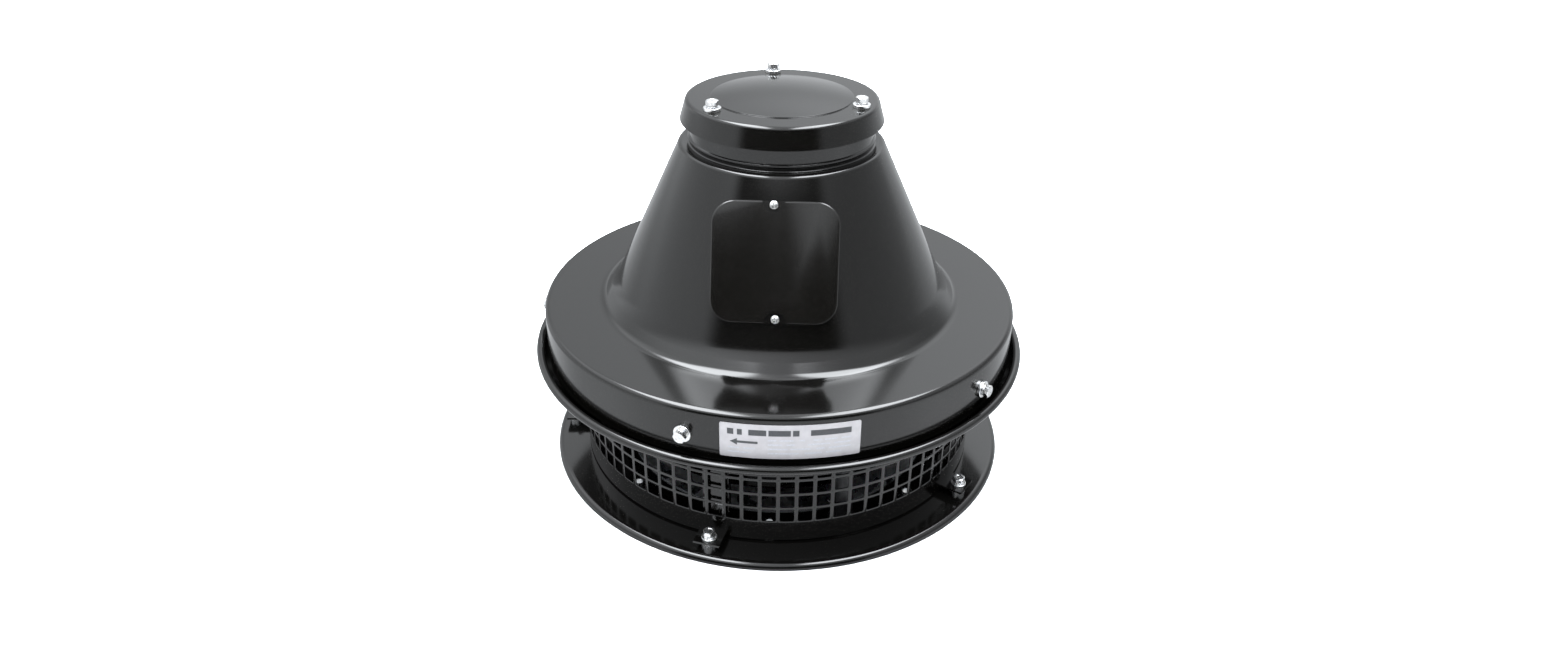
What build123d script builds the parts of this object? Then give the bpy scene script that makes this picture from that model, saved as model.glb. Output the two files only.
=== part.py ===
"""Roof-mounted centrifugal exhaust fan for a food truck's cooking hood, as an assembly of separate pieces.

Millimetres, +Z up.  The origin is on the fan's axis, in the plane of the base rim.  -Y is the front, where
the access cover is.  Air comes up through the inlet nozzle, and the impeller throws it out sideways through
the mesh.
"""

from build123d import *
from math import hypot, sqrt
import os

# ---- driving dimensions ---------------------------------------------------------------------------
base_radius = 225.0
base_top = 6.5
base_sheet = 2.0
base_edge_bend = 5.5
base_hole_radius = 137.0

bolt_shank_radius = 3.0
bolt_hole_radius = 3.3
bolt_flats = 10.0
bolt_head_height = 4.4
washer_radius = 7.75
washer_thickness = 1.6
sealing_washer_thickness = 3.0
lock_washer_radius = 5.2
lock_washer_thickness = 1.6
lock_washer_split = 0.8
post_count = 5
post_spacing = 360.0 / post_count

inlet_throat_radius = 98.0
nozzle_sheet = 1.5
nozzle_top = 34.0
nozzle_bell_radius = 20.0
nozzle_flange_radius = 152.0
nozzle_rivet_circle = 145.0
nozzle_rivet_count = 8
nozzle_rivet_radius = 1.6
nozzle_rivet_angle = 22.5

flange_bolt_circle = 355.0
flange_bolt_count = 8
flange_thread_radius = 3.4
rivet_nut_radius = 5.5
rivet_nut_flange = 6.5

leg_sheet = 2.0
leg_width = 24.0
leg_riser_outer = 190.0
leg_rib_depth = 4.0
leg_first_angle = -104.4
base_bolt_radius = 208.0
base_washer_radius = 7.0
standoff_radius = 7.0
standoff_neck_radius = 5.5
standoff_top = 13.5
deck_bolt_radius = 175.0

mesh_radius = 194.0
mesh_sheet = 1.2
mesh_bottom = 8.5
foot_slot_gap = 0.5
mesh_columns = 76
mesh_rows = 4
mesh_first_opening = 29.5
mesh_row_pitch = 15.25
mesh_opening_height = 12.25
mesh_opening_width = 12.5
mesh_ring_sheet = 2.0
mesh_ring_bottom = 77.0

deck_underside = 94.0
deck_sheet = 2.0
deck_wall_foot = 211.0
lip_bead_circle = 232.7
lip_bead_radius = 4.0
lip_bead_height = 114.0

hood_sheet = 1.5
skirt_radius = 225.0
skirt_bottom = 114.0
brim_edge_height = 160.5
brim_inner_height = 163.5
cone_foot_radius = 162.0
cone_slope = 0.4632
shoulder_height = 312.5
neck_radius = 83.5
neck_top = 341.5
neck_hole_radius = 62.0
hood_bolt_height = 135.5
hood_first_angle = -108.0
bracket_foot_radius = 183.0
bracket_rivet_circle = 186.5
bracket_rivet_radius = 2.5
bracket_rivet_offset = -1.5

cap_top = 352.0
cap_top_radius = 86.2
cap_bottom = 333.2
cap_bottom_radius = 91.8
cap_sheet = 1.5
cap_dome_radius = 63.0
cap_dome_rise = 7.0
cap_bolt_radius = 74.5
cap_first_angle = 99.0
cap_bolt_count = 3
cap_dome_step = 0.8

cover_width = 113.0
cover_height = 102.0
cover_corner = 19.0
cover_face = 6.5
cover_wall = 2.0
cover_centre_height = 245.0
cover_notch_radius = 9.5
cover_notch_floor = 2.6
cover_screw_offset = 47.5
gasket_thickness = 1.0

plate_first_angle = -100.0
plate_arc = 29.4
plate_bottom = 120.2
plate_top = 152.8
plate_thickness = 0.4

impeller_radius = 157.5
impeller_sheet = 1.5
back_plate_underside = 84.0
shroud_collar_radius = 103.0
shroud_collar_bottom = 26.5
shroud_bend_height = 33.0
shroud_rim_height = 38.0
shroud_sheet = 1.2
blade_count = 7
blade_inner_radius = 109.0
blade_outer_radius = 156.0
blade_sweep = 36.0
hub_radius = 18.0
hub_flange_radius = 34.0
hub_bottom = 66.0
hub_top = 90.0

shaft_end_radius = 5.5
shaft_bearing_radius = 6.0
shaft_body_radius = 9.0
shaft_end = 73.0
key_width = 4.0

motor_face = deck_underside + deck_sheet
motor_flange_radius = 70.0
motor_flange_thickness = 9.0
motor_spigot_radius = 47.5
motor_bolt_circle_radius = 57.5
frame_bottom = 112.0
frame_top = 200.0
frame_outer_radius = 56.0
frame_inner_radius = 52.0
fin_tip_radius = 62.0
fin_count = 24
tie_bolt_circle_radius = 64.5
rear_flange_radius = 69.0
stator_bottom = 125.0
stator_top = 185.0
stator_inner_radius = 31.0
rotor_core_radius = 30.6
slot_count = 24

bearing_outer_radius = 16.0
bearing_width = 10.0
bearing_pitch_radius = 11.0
ball_radius = 2.95
ball_clearance = 0.05
ball_count = 7
drive_bearing_bottom = 99.0
rear_bearing_bottom = 201.0

cowl_radius = 60.0
cowl_sheet = 1.2
cowl_bottom = 205.0
cowl_top = 244.0

box_width = 66.0
box_back = 74.0
box_depth = 26.0
box_bottom = 204.0
box_top = 262.0
box_wall = 2.0
gland_offset = 15.0

capacitor_radius = 17.0
capacitor_height = 70.0
capacitor_distance = 100.0

conduit_radius = 9.0
conduit_bore_radius = 7.5
conduit_circle = 171.0
conduit_angle = -67.5
conduit_bottom = 3.0
conduit_top = 106.0


# ---- helpers --------------------------------------------------------------------------------------
def turned(*corners):
    """A solid of revolution about Z.  A corner of its half section is (radius, height[, fillet])."""
    points = [(corner[0], corner[1]) for corner in corners]
    fillets = [corner[2] if len(corner) > 2 else 0 for corner in corners]
    outline = FilletPolyline(*points, radius=fillets, close=True)
    return revolve(Plane.XZ * make_face(outline), Axis.Z)


def sheet_outline(thickness, *path):
    """The closed outline of a sheet.  One side follows the path, and the other lies to the path's left."""
    far_side = []
    for i, corner in enumerate(path):
        normals = []
        for a, b in ((i - 1, i), (i, i + 1)):
            if a >= 0 and b < len(path):
                dx = path[b][0] - path[a][0]
                dz = path[b][1] - path[a][1]
                normals.append((-dz / hypot(dx, dz), dx / hypot(dx, dz)))
        first, last = normals[0], normals[-1]
        scale = thickness / (1 + first[0] * last[0] + first[1] * last[1])
        bend = corner[2] if len(corner) > 2 else 0
        if bend:
            turns_left = first[0] * last[1] - first[1] * last[0] > 0
            bend = max(bend - thickness, 0) if turns_left else bend + thickness
        offset = (scale * (first[0] + last[0]), scale * (first[1] + last[1]))
        far_side.append((corner[0] + offset[0], corner[1] + offset[1], bend))
    return list(path) + far_side[::-1]


def turned_sheet(thickness, *path):
    """A spun sheet: the path is one of its sides, and its thickness lies to the path's left."""
    return turned(*sheet_outline(thickness, *path))


def tube(outer, inner, bottom, top):
    """A plain ring about Z."""
    return turned((inner, bottom), (outer, bottom), (outer, top), (inner, top))


def rod(radius, bottom, top):
    """A plain round bar about Z."""
    return Pos(0, 0, bottom) * Cylinder(radius, top - bottom, align=(Align.CENTER, Align.CENTER, Align.MIN))


def block(x, y, z):
    """A box from three (low, high) pairs."""
    size = [high - low for low, high in (x, y, z)]
    return Pos(x[0], y[0], z[0]) * Box(*size, align=(Align.MIN, Align.MIN, Align.MIN))


def hex_bar(flats, bottom, top):
    """A hexagonal bar about Z, sized across its flats."""
    section = RegularPolygon(radius=flats / 2, side_count=6, major_radius=False)
    return Pos(0, 0, bottom) * extrude(section, top - bottom)


def around(piece, count, first_angle=0.0):
    """Copies of a piece, evenly spaced about Z."""
    return [Rot(0, 0, first_angle + 360.0 / count * k) * piece for k in range(count)]


def upright(piece, radius):
    """Moves a piece that is modelled about Z out to a radius."""
    return Pos(radius, 0, 0) * piece


def outward(piece, radius, height):
    """Turns a piece that is modelled about Z so that its top points away from the fan's axis."""
    return Pos(radius, 0, height) * Rot(0, 90, 0) * piece


def hex_bolt(length, shank=bolt_shank_radius, flats=bolt_flats, head=bolt_head_height):
    """A hexagon-head bolt: the head stands on z = 0, and the shank hangs below."""
    chamfer_cone = Pos(0, 0, head / 2) * Cone(flats * 0.62 + head / 2, flats * 0.54, head)
    return (hex_bar(flats, 0, head) & chamfer_cone) + rod(shank, -length, 0)


def washer(radius, thickness):
    """A plain washer standing on z = 0."""
    return tube(radius, bolt_hole_radius, 0, thickness)


def lock_washer(seat):
    """A split spring washer standing on a seat height."""
    top = seat + lock_washer_thickness
    half_split = lock_washer_split / 2
    split = block((0, lock_washer_radius + 1), (-half_split, half_split), (seat - 1, top + 1))
    return tube(lock_washer_radius, bolt_hole_radius, seat, top) - split


# ---- base, nozzle and legs ------------------------------------------------------------------------
def base_plate():
    """Pressed round plate with a turned-down rim, which rests on the roof curb."""
    plate = turned_sheet(
        base_sheet,
        (base_radius, 0),
        (base_radius, base_top, base_edge_bend),
        (base_hole_radius, base_top),
    )
    through = (0, base_top + 5)
    standoff_hole = upright(rod(standoff_neck_radius, *through), base_bolt_radius)
    cutters = around(standoff_hole, post_count, leg_first_angle)
    cutters += around(upright(rod(rivet_nut_radius, *through), flange_bolt_circle / 2), flange_bolt_count)
    cutters += nozzle_rivet_holes()
    cutters.append(Rot(0, 0, conduit_angle) * upright(rod(conduit_radius, *through), conduit_circle))
    return plate - cutters


def nozzle_rivet_holes():
    """Holes for the nozzle's rivets, through the nozzle's flange and the base."""
    hole = upright(rod(nozzle_rivet_radius, 0, base_top + 5), nozzle_rivet_circle)
    return around(hole, nozzle_rivet_count, nozzle_rivet_angle)


def inlet_nozzle():
    """Spun bell mouth that leads the air into the impeller's eye."""
    bell = turned_sheet(
        nozzle_sheet,
        (inlet_throat_radius, nozzle_top),
        (inlet_throat_radius, base_top, nozzle_bell_radius),
        (nozzle_flange_radius, base_top),
    )
    return bell - nozzle_rivet_holes()


def nozzle_rivet():
    """Blind rivet that holds the nozzle to the base."""
    top = base_top + nozzle_sheet
    head = turned((0, top), (3.2, top), (3.0, top + 0.7, 0.3), (0, top + 1.0))
    tail = rod(2.6, base_top - base_sheet - 2.0, base_top - base_sheet)
    return upright(head + rod(nozzle_rivet_radius, base_top - base_sheet, top) + tail, nozzle_rivet_circle)


def flange_rivet_nut():
    """Rivet nut, opening downwards, for the duct flange or the curb adapter."""
    underside = base_top - base_sheet
    nut = turned(
        (flange_thread_radius, underside - 1.0),
        (rivet_nut_flange, underside - 1.0),
        (rivet_nut_flange, underside),
        (rivet_nut_radius, underside),
        (rivet_nut_radius, base_top),
        (rivet_nut_flange, base_top),
        (rivet_nut_flange, base_top + 2.5),
        (rivet_nut_radius, base_top + 2.5),
        (rivet_nut_radius, base_top + 9.0),
        (flange_thread_radius, base_top + 9.0),
    )
    return upright(nut, flange_bolt_circle / 2)


def support_leg():
    """Bent strip that carries the motor deck: a foot out through the mesh, a riser and a tab."""
    half = leg_width / 2
    side = (-half, half)
    foot_top = standoff_top + leg_sheet
    tab_bottom = deck_underside - leg_sheet
    riser_inner = leg_riser_outer - leg_sheet
    rib_inner = riser_inner - leg_rib_depth
    foot = block((rib_inner, base_bolt_radius + 9), side, (standoff_top, foot_top))
    riser = block((riser_inner, leg_riser_outer), side, (foot_top, tab_bottom))
    ribs = [
        block((rib_inner, riser_inner), edge, (foot_top, tab_bottom))
        for edge in ((-half, leg_sheet - half), (half - leg_sheet, half))
    ]
    tab = block((deck_bolt_radius - 8, leg_riser_outer), side, (tab_bottom, deck_underside))
    holes = [
        upright(rod(bolt_hole_radius, standoff_top - 5, foot_top + 5), base_bolt_radius),
        upright(rod(bolt_hole_radius, tab_bottom - 5, deck_underside + 5), deck_bolt_radius),
    ]
    return foot + riser + ribs + tab - holes


def base_bolt():
    """Bolt through a leg's foot into its standoff."""
    seat = standoff_top + leg_sheet + washer_thickness + lock_washer_thickness
    return Pos(base_bolt_radius, 0, seat) * hex_bolt(seat - 1.0)


def base_washer():
    """Washer under a base bolt."""
    return Pos(base_bolt_radius, 0, standoff_top + leg_sheet) * washer(base_washer_radius, washer_thickness)


def base_lock_washer():
    """Spring washer between a base bolt's head and its washer."""
    return Pos(base_bolt_radius, 0, standoff_top + leg_sheet) * lock_washer(washer_thickness)


def base_standoff():
    """Threaded standoff, pressed into the base, that a leg's foot stands on."""
    underside = base_top - base_sheet
    standoff = turned(
        (bolt_shank_radius, underside - 3.0),
        (standoff_neck_radius, underside - 3.0),
        (standoff_neck_radius, base_top),
        (standoff_radius, base_top),
        (standoff_radius, standoff_top),
        (bolt_shank_radius, standoff_top),
    )
    return upright(standoff, base_bolt_radius)


# ---- mesh guard -----------------------------------------------------------------------------------
def mesh_guard():
    """Ring of square-hole perforated sheet, with a slot at the bottom for each leg's foot."""
    ring = tube(mesh_radius, mesh_radius - mesh_sheet, mesh_bottom, deck_underside)
    across = (mesh_radius - mesh_sheet - 2, mesh_radius + 2)
    half_slot = leg_width / 2 + foot_slot_gap
    foot_slot = block(across, (-half_slot, half_slot), (0, standoff_top + leg_sheet + foot_slot_gap))
    openings = around(foot_slot, post_count, leg_first_angle)
    for row in range(mesh_rows):
        low = mesh_first_opening + mesh_row_pitch * row
        width = (-mesh_opening_width / 2, mesh_opening_width / 2)
        opening = block(across, width, (low, low + mesh_opening_height))
        openings += around(opening, mesh_columns)
    return ring - openings


def mesh_top_ring():
    """Rolled band welded under the deck, which the mesh is wrapped around."""
    outer = mesh_radius - mesh_sheet
    return tube(outer, outer - mesh_ring_sheet, mesh_ring_bottom, deck_underside)


# ---- motor deck -----------------------------------------------------------------------------------
def deck_plate():
    """Round motor deck with a flared wall and a rolled lip, which stands out past the hood's skirt."""
    deck = turned_sheet(
        deck_sheet,
        (motor_spigot_radius, deck_underside),
        (deck_wall_foot, deck_underside, 8),
        (lip_bead_circle - 1.5, lip_bead_height - 2.0),
    )
    bead = Pos(0, 0, lip_bead_height) * Torus(lip_bead_circle, lip_bead_radius)
    tall = (deck_underside - 10, deck_underside + 10)
    cutters = around(upright(rod(bolt_hole_radius, *tall), deck_bolt_radius), post_count, leg_first_angle)
    cutters += around(upright(rod(bolt_hole_radius, *tall), motor_bolt_circle_radius), 4)
    rivet_hole = upright(rod(bracket_rivet_radius, *tall), bracket_rivet_circle)
    cutters += around(rivet_hole, post_count, hood_first_angle + bracket_rivet_offset)
    cutters.append(Rot(0, 0, conduit_angle) * upright(rod(conduit_radius, *tall), conduit_circle))
    return deck + bead - cutters


def deck_bolt():
    """Bolt through the deck and a leg's tab."""
    seat = deck_underside + deck_sheet
    return Pos(deck_bolt_radius, 0, seat) * hex_bolt(deck_sheet + leg_sheet + 6.0)


def deck_nut():
    """Nut under a leg's tab."""
    seat = deck_underside - leg_sheet
    nut = hex_bar(bolt_flats, seat - 4.8, seat) - rod(bolt_shank_radius, seat - 6, seat + 1)
    return upright(nut, deck_bolt_radius)


# ---- hood -----------------------------------------------------------------------------------------
def cone_radius(height, offset=0.0):
    """Outer radius of the hood's cone, moved out along its normal by an offset."""
    along_radius = offset * sqrt(1 + cone_slope**2)
    return cone_foot_radius - cone_slope * (height - brim_inner_height) + along_radius


def cover_plane():
    """Plane that touches the cone at the middle of the access cover, with its Y axis up the slope."""
    tilt = sqrt(1 + cone_slope**2)
    return Plane(
        origin=(0, -cone_radius(cover_centre_height), cover_centre_height),
        x_dir=(1, 0, 0),
        z_dir=(0, -1 / tilt, cone_slope / tilt),
    )


def cover_prism(inset, low, high):
    """Rounded-square prism on the cover's plane."""
    section = RectangleRounded(cover_width - 2 * inset, cover_height - 2 * inset, cover_corner - inset)
    return cover_plane() * Pos(0, 0, low) * extrude(section, high - low)


def on_cover(piece, offset):
    """Puts a piece on the cover's plane, above or below its middle."""
    return cover_plane() * Pos(0, offset, 0) * piece


def hood_shell():
    """Spun hood: skirt, brim, cone, shoulder ledge and neck, open at the top under the cap."""
    shell = turned_sheet(
        hood_sheet,
        (skirt_radius, skirt_bottom),
        (skirt_radius, brim_edge_height, 5),
        (cone_foot_radius, brim_inner_height, 24),
        (cone_radius(shoulder_height), shoulder_height, 4),
        (neck_radius, shoulder_height - 1.0, 1.5),
        (neck_radius, neck_top, 3),
        (neck_hole_radius, neck_top),
    )
    swage = Pos(0, 0, shoulder_height + 4.5) * Torus(neck_radius - 0.4, 1.8)
    swage = swage - rod(neck_radius - hood_sheet / 2, shoulder_height, shoulder_height + 9)
    shell = shell + swage
    side_hole = outward(rod(bolt_hole_radius, -15, 5), skirt_radius, hood_bolt_height)
    top_hole = upright(rod(bolt_shank_radius, neck_top - 10, neck_top + 5), cap_bolt_radius)
    cutters = around(side_hole, post_count, hood_first_angle)
    cutters += around(top_hole, cap_bolt_count, cap_first_angle)
    cutters.append(cover_prism(13.0, -30, 10))
    cutters += [on_cover(rod(2.0, -10, 10), side * cover_screw_offset) for side in (-1, 1)]
    return shell - cutters


def hood_bracket():
    """Bent strap from the deck to the skirt, which the hood is bolted to."""
    top_of_deck = deck_underside + deck_sheet
    inner_skirt = skirt_radius - hood_sheet
    outline = sheet_outline(
        leg_sheet,
        (bracket_foot_radius, top_of_deck),
        (201, top_of_deck, 5),
        (inner_skirt, 117, 6),
        (inner_skirt, hood_bolt_height + 13),
    )
    points = [(corner[0], corner[1]) for corner in outline]
    fillets = [corner[2] if len(corner) > 2 else 0 for corner in outline]
    face = Plane.XZ * make_face(FilletPolyline(*points, radius=fillets, close=True))
    strap = extrude(face, leg_width / 2, both=True)
    inside = rod(inner_skirt, top_of_deck, hood_bolt_height + 20)
    holes = [
        outward(rod(bolt_shank_radius, -12, 5), inner_skirt, hood_bolt_height),
        Rot(0, 0, bracket_rivet_offset)
        * upright(rod(bracket_rivet_radius, deck_underside, top_of_deck + 10), bracket_rivet_circle),
    ]
    return (strap & inside) - holes


def bracket_rivet():
    """Rivet through a hood bracket's foot and the deck."""
    seat = deck_underside + deck_sheet + leg_sheet
    head = turned((0, seat), (4.6, seat), (4.4, seat + 1.0, 0.5), (0, seat + 1.5))
    tail = rod(3.6, deck_underside - 2.0, deck_underside)
    return upright(head + rod(bracket_rivet_radius, deck_underside, seat) + tail, bracket_rivet_circle)


def hood_bolt():
    """Bolt through the skirt into a hood bracket."""
    stack = sealing_washer_thickness + lock_washer_thickness
    return outward(hex_bolt(stack + 7.5), skirt_radius + stack, hood_bolt_height)


def hood_washer():
    """Sealing washer under a hood bolt."""
    return outward(washer(washer_radius, sealing_washer_thickness), skirt_radius, hood_bolt_height)


def hood_lock_washer():
    """Spring washer between a hood bolt's head and its sealing washer."""
    return outward(lock_washer(sealing_washer_thickness), skirt_radius, hood_bolt_height)


# ---- rain cap -------------------------------------------------------------------------------------
def rain_cap():
    """Pressed cap with a shallow dome and a flared skirt, held clear of the neck."""
    dome_foot = cap_top + cap_dome_step
    dome_rise = cap_dome_rise - cap_dome_step
    rim = turned_sheet(
        cap_sheet,
        (cap_bottom_radius, cap_bottom),
        (cap_top_radius, cap_top, 4),
        (cap_dome_radius, cap_top),
    )
    dome_ball = (cap_dome_radius**2 + dome_rise**2) / (2 * dome_rise)
    dome_centre = cap_top + cap_dome_rise - dome_ball
    ball = Pos(0, 0, dome_centre) * Sphere(dome_ball)
    inner_ball = Pos(0, 0, dome_centre) * Sphere(dome_ball - cap_sheet)
    dome = (ball - inner_ball) & rod(cap_dome_radius, dome_foot - 2.2, cap_top + 20)
    collar = tube(cap_dome_radius + 0.8, cap_dome_radius - 0.8, cap_top - cap_sheet, dome_foot)
    hole = upright(rod(bolt_hole_radius, cap_top - 10, cap_top + 10), cap_bolt_radius)
    return rim + dome + collar - around(hole, cap_bolt_count, cap_first_angle)


def cap_bolt():
    """Bolt through the cap into a standoff."""
    stack = sealing_washer_thickness + lock_washer_thickness
    return Pos(cap_bolt_radius, 0, cap_top + stack) * hex_bolt(stack + 10.4)


def cap_washer():
    """Sealing washer under a cap bolt."""
    return Pos(cap_bolt_radius, 0, cap_top) * washer(washer_radius, sealing_washer_thickness)


def cap_lock_washer():
    """Spring washer between a cap bolt's head and its sealing washer."""
    return Pos(cap_bolt_radius, 0, cap_top) * lock_washer(sealing_washer_thickness)


def cap_standoff():
    """Tube between the neck's flange and the cap, which leaves the gap that the motor's air goes out by."""
    return upright(tube(5.5, bolt_shank_radius, neck_top, cap_top - cap_sheet), cap_bolt_radius)


# ---- access cover and rating plate ----------------------------------------------------------------
def cone_region(offset):
    """Everything inside the cone, with its surface moved out by an offset."""
    low, high = brim_inner_height, shoulder_height + 30
    return turned((0, low), (cone_radius(low, offset), low), (cone_radius(high, offset), high), (0, high))


def access_cover():
    """Moulded flat-faced lid, whose side walls run back to the cone, with a notch for each screw."""
    notches = [
        on_cover(rod(cover_notch_radius, cover_notch_floor, 20), side * cover_height / 2) for side in (-1, 1)
    ]
    pockets = [
        on_cover(rod(cover_notch_radius + cover_wall, -30, 20), side * cover_height / 2) for side in (-1, 1)
    ]
    outside = cover_prism(0, -24, cover_face)
    edge = outside.faces().sort_by(Axis((0, 0, 0), (0, -1, cone_slope)))[-1].edges()
    outside = fillet(edge, 1.5) - notches
    inside = cover_prism(cover_wall, -30, cover_face - cover_wall) - pockets
    screw_holes = [on_cover(rod(2.2, -10, 10), side * cover_screw_offset) for side in (-1, 1)]
    return outside - inside - screw_holes - cone_region(gasket_thickness)


def cover_gasket():
    """Flat rubber gasket between the lid's walls and the cone."""
    band = cover_prism(0.5, -24, cover_face - 1) - cover_prism(9.5, -30, 20)
    screw_holes = [on_cover(rod(2.2, -10, 10), side * cover_screw_offset) for side in (-1, 1)]
    return (band & cone_region(gasket_thickness)) - cone_region(0) - screw_holes


def cover_screw():
    """Pan-head screw, with its seat at z = 0."""
    head = turned((0, 0), (3.8, 0), (3.8, 2.6, 1.2), (0, 3.2))
    recess = block((-0.5, 0.5), (-2.2, 2.2), (2.0, 4.0)) + block((-2.2, 2.2), (-0.5, 0.5), (2.0, 4.0))
    return head - recess + rod(2.0, -8.0, 0)


def rating_plate():
    """Thin plate on the skirt."""
    middle = Pos(skirt_radius + plate_thickness / 2, (plate_bottom + plate_top) / 2)
    section = Plane.XZ * middle * Rectangle(plate_thickness, plate_top - plate_bottom)
    return Rot(0, 0, plate_first_angle) * revolve(section, Axis.Z, revolution_arc=plate_arc)


# ---- impeller -------------------------------------------------------------------------------------
def shroud_face(radius):
    """Height of the shroud's blade side at a radius."""
    slope = (shroud_rim_height - shroud_bend_height) / (impeller_radius - shroud_collar_radius)
    return shroud_bend_height + slope * (radius - shroud_collar_radius) + shroud_sheet * sqrt(1 + slope**2)


def impeller_shroud():
    """Spun front plate of the impeller, with a collar round the nozzle."""
    return turned_sheet(
        shroud_sheet,
        (shroud_collar_radius, shroud_collar_bottom),
        (shroud_collar_radius, shroud_bend_height, 5),
        (impeller_radius, shroud_rim_height),
    )


def impeller_back_plate():
    """Flat back plate of the impeller."""
    plate = tube(impeller_radius, hub_radius, back_plate_underside, back_plate_underside + impeller_sheet)
    return plate - around(upright(rod(2.0, 60, 100), 27.0), 6)


def impeller_blade():
    """Backward-curved sheet blade, from the shroud up to the back plate."""
    def polar(radius, angle):
        return Vector(radius, 0).rotate(Axis.Z, angle)

    middle = (blade_inner_radius + blade_outer_radius) / 2
    curve = ThreePointArc(
        polar(blade_inner_radius, 0),
        polar(middle, -blade_sweep * 0.42),
        polar(blade_outer_radius, -blade_sweep),
    )
    plan = trace(curve, line_width=impeller_sheet)
    slab = Pos(0, 0, 30) * extrude(plan, back_plate_underside - 30)
    inner, outer = blade_inner_radius - 3, impeller_radius
    room = turned(
        (inner, shroud_face(inner)),
        (outer, shroud_face(outer)),
        (outer, back_plate_underside),
        (inner, back_plate_underside),
    )
    return slab & room


def impeller_hub():
    """Turned aluminium hub, riveted under the back plate and keyed to the shaft."""
    hub = turned(
        (shaft_end_radius, hub_bottom),
        (hub_radius, hub_bottom, 1),
        (hub_radius, back_plate_underside - 5),
        (hub_flange_radius, back_plate_underside - 5),
        (hub_flange_radius, back_plate_underside),
        (hub_radius, back_plate_underside),
        (hub_radius, hub_top),
        (shaft_end_radius, hub_top),
    )
    return hub - around(upright(rod(2.0, 60, 100), 27.0), 6) - key_space()


def key_space():
    """The space that the key fills, half in the shaft and half in the hub."""
    return block((shaft_end_radius - 2.5, shaft_end_radius + 1.5), (-key_width / 2, key_width / 2), (75, 89))


def hub_rivet():
    """Rivet that joins the hub to the back plate."""
    low = back_plate_underside - 5
    high = back_plate_underside + impeller_sheet
    return upright(rod(3.5, low - 1.5, low) + rod(2.0, low, high) + rod(3.5, high, high + 1.5), 27.0)


def impeller_washer():
    """Thick washer that holds the hub on the shaft."""
    return tube(10.0, 2.2, hub_bottom - 2.0, hub_bottom)


def impeller_screw():
    """Screw up into the end of the shaft."""
    seat = hub_bottom - 2.0
    return hex_bar(7.0, seat - 2.8, seat) + rod(2.0, seat, shaft_end + 12)


# ---- motor ----------------------------------------------------------------------------------------
def drive_end_shield():
    """Cast flange end of the motor, with the spigot and the drive bearing's seat."""
    shield = turned(
        (7.0, motor_face - 3.0),
        (motor_spigot_radius, motor_face - 3.0),
        (motor_spigot_radius, motor_face),
        (motor_flange_radius, motor_face),
        (motor_flange_radius, motor_face + motor_flange_thickness),
        (frame_inner_radius + 2, motor_face + motor_flange_thickness + 3, 2),
        (frame_inner_radius + 2, frame_bottom),
        (bearing_outer_radius, frame_bottom),
        (bearing_outer_radius, drive_bearing_bottom),
        (7.0, drive_bearing_bottom),
    )
    high = motor_face + motor_flange_thickness
    bolt_holes = around(upright(rod(bolt_shank_radius, motor_face - 5, high - 1), motor_bolt_circle_radius), 4)
    tie_holes = around(upright(rod(2.1, motor_face - 5, high + 10), tie_bolt_circle_radius), 4, 45)
    return shield - bolt_holes - tie_holes


def motor_frame():
    """Extruded aluminium stator frame with cooling fins."""
    frame = tube(frame_outer_radius, frame_inner_radius, frame_bottom, frame_top)
    fin = block((frame_outer_radius - 1, fin_tip_radius), (-1, 1), (frame_bottom + 3, frame_top - 2))
    return frame + around(fin, fin_count, 7.5)


def stator_core():
    """Laminated stator pack with open slots."""
    core = tube(frame_inner_radius, stator_inner_radius, stator_bottom, stator_top)
    slot = block((stator_inner_radius - 1, 43), (-2.2, 2.2), (stator_bottom - 1, stator_top + 1))
    return core - around(slot, slot_count)


def stator_windings():
    """Copper windings: the bars in the slots and the two coil ends."""
    lower_end = tube(44.0, 34.0, stator_bottom - 10, stator_bottom - 0.2)
    upper_end = tube(44.0, 34.0, stator_top + 0.2, stator_top + 10)
    bar = block((35.0, 42.0), (-1.9, 1.9), (stator_bottom - 1, stator_top + 1))
    return lower_end + upper_end + around(bar, slot_count)


def rear_end_shield():
    """Cast rear end of the motor, with the rear bearing's seat."""
    shield = turned(
        (bearing_outer_radius, frame_top),
        (rear_flange_radius, frame_top),
        (rear_flange_radius, cowl_bottom),
        (cowl_radius - cowl_sheet, cowl_bottom),
        (cowl_radius - cowl_sheet, 214.0, 1),
        (7.5, 214.0),
        (7.5, rear_bearing_bottom + bearing_width),
        (bearing_outer_radius, rear_bearing_bottom + bearing_width),
    )
    tie_hole = upright(rod(2.1, frame_top - 5, frame_top + 20), tie_bolt_circle_radius)
    return shield - around(tie_hole, 4, 45)


def tie_bolt():
    """Long bolt that clamps both end shields to the frame."""
    high = cowl_bottom
    head = hex_bar(7.0, high, high + 2.8) & rod(3.9, high, high + 2.8)
    low = motor_face + motor_flange_thickness
    return upright(rod(2.0, low - 7.0, high) + head, tie_bolt_circle_radius)


def motor_bolt():
    """Low-headed bolt up through the deck into the motor's flange."""
    seat = deck_underside
    head = turned((0, seat - 3), (5.5, seat - 3), (6.5, seat - 1), (6.5, seat), (0, seat))
    return upright(head + rod(bolt_shank_radius, seat, motor_face + 7.0), motor_bolt_circle_radius)


def bearing_groove(bottom):
    """Ball track of a deep-groove bearing."""
    return Pos(0, 0, bottom + bearing_width / 2) * Torus(bearing_pitch_radius, ball_radius + ball_clearance)


def bearing_outer_ring(bottom):
    """Outer ring of a bearing."""
    return tube(bearing_outer_radius, 13.0, bottom, bottom + bearing_width) - bearing_groove(bottom)


def bearing_inner_ring(bottom):
    """Inner ring of a bearing."""
    return tube(9.0, shaft_bearing_radius, bottom, bottom + bearing_width) - bearing_groove(bottom)


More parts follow.
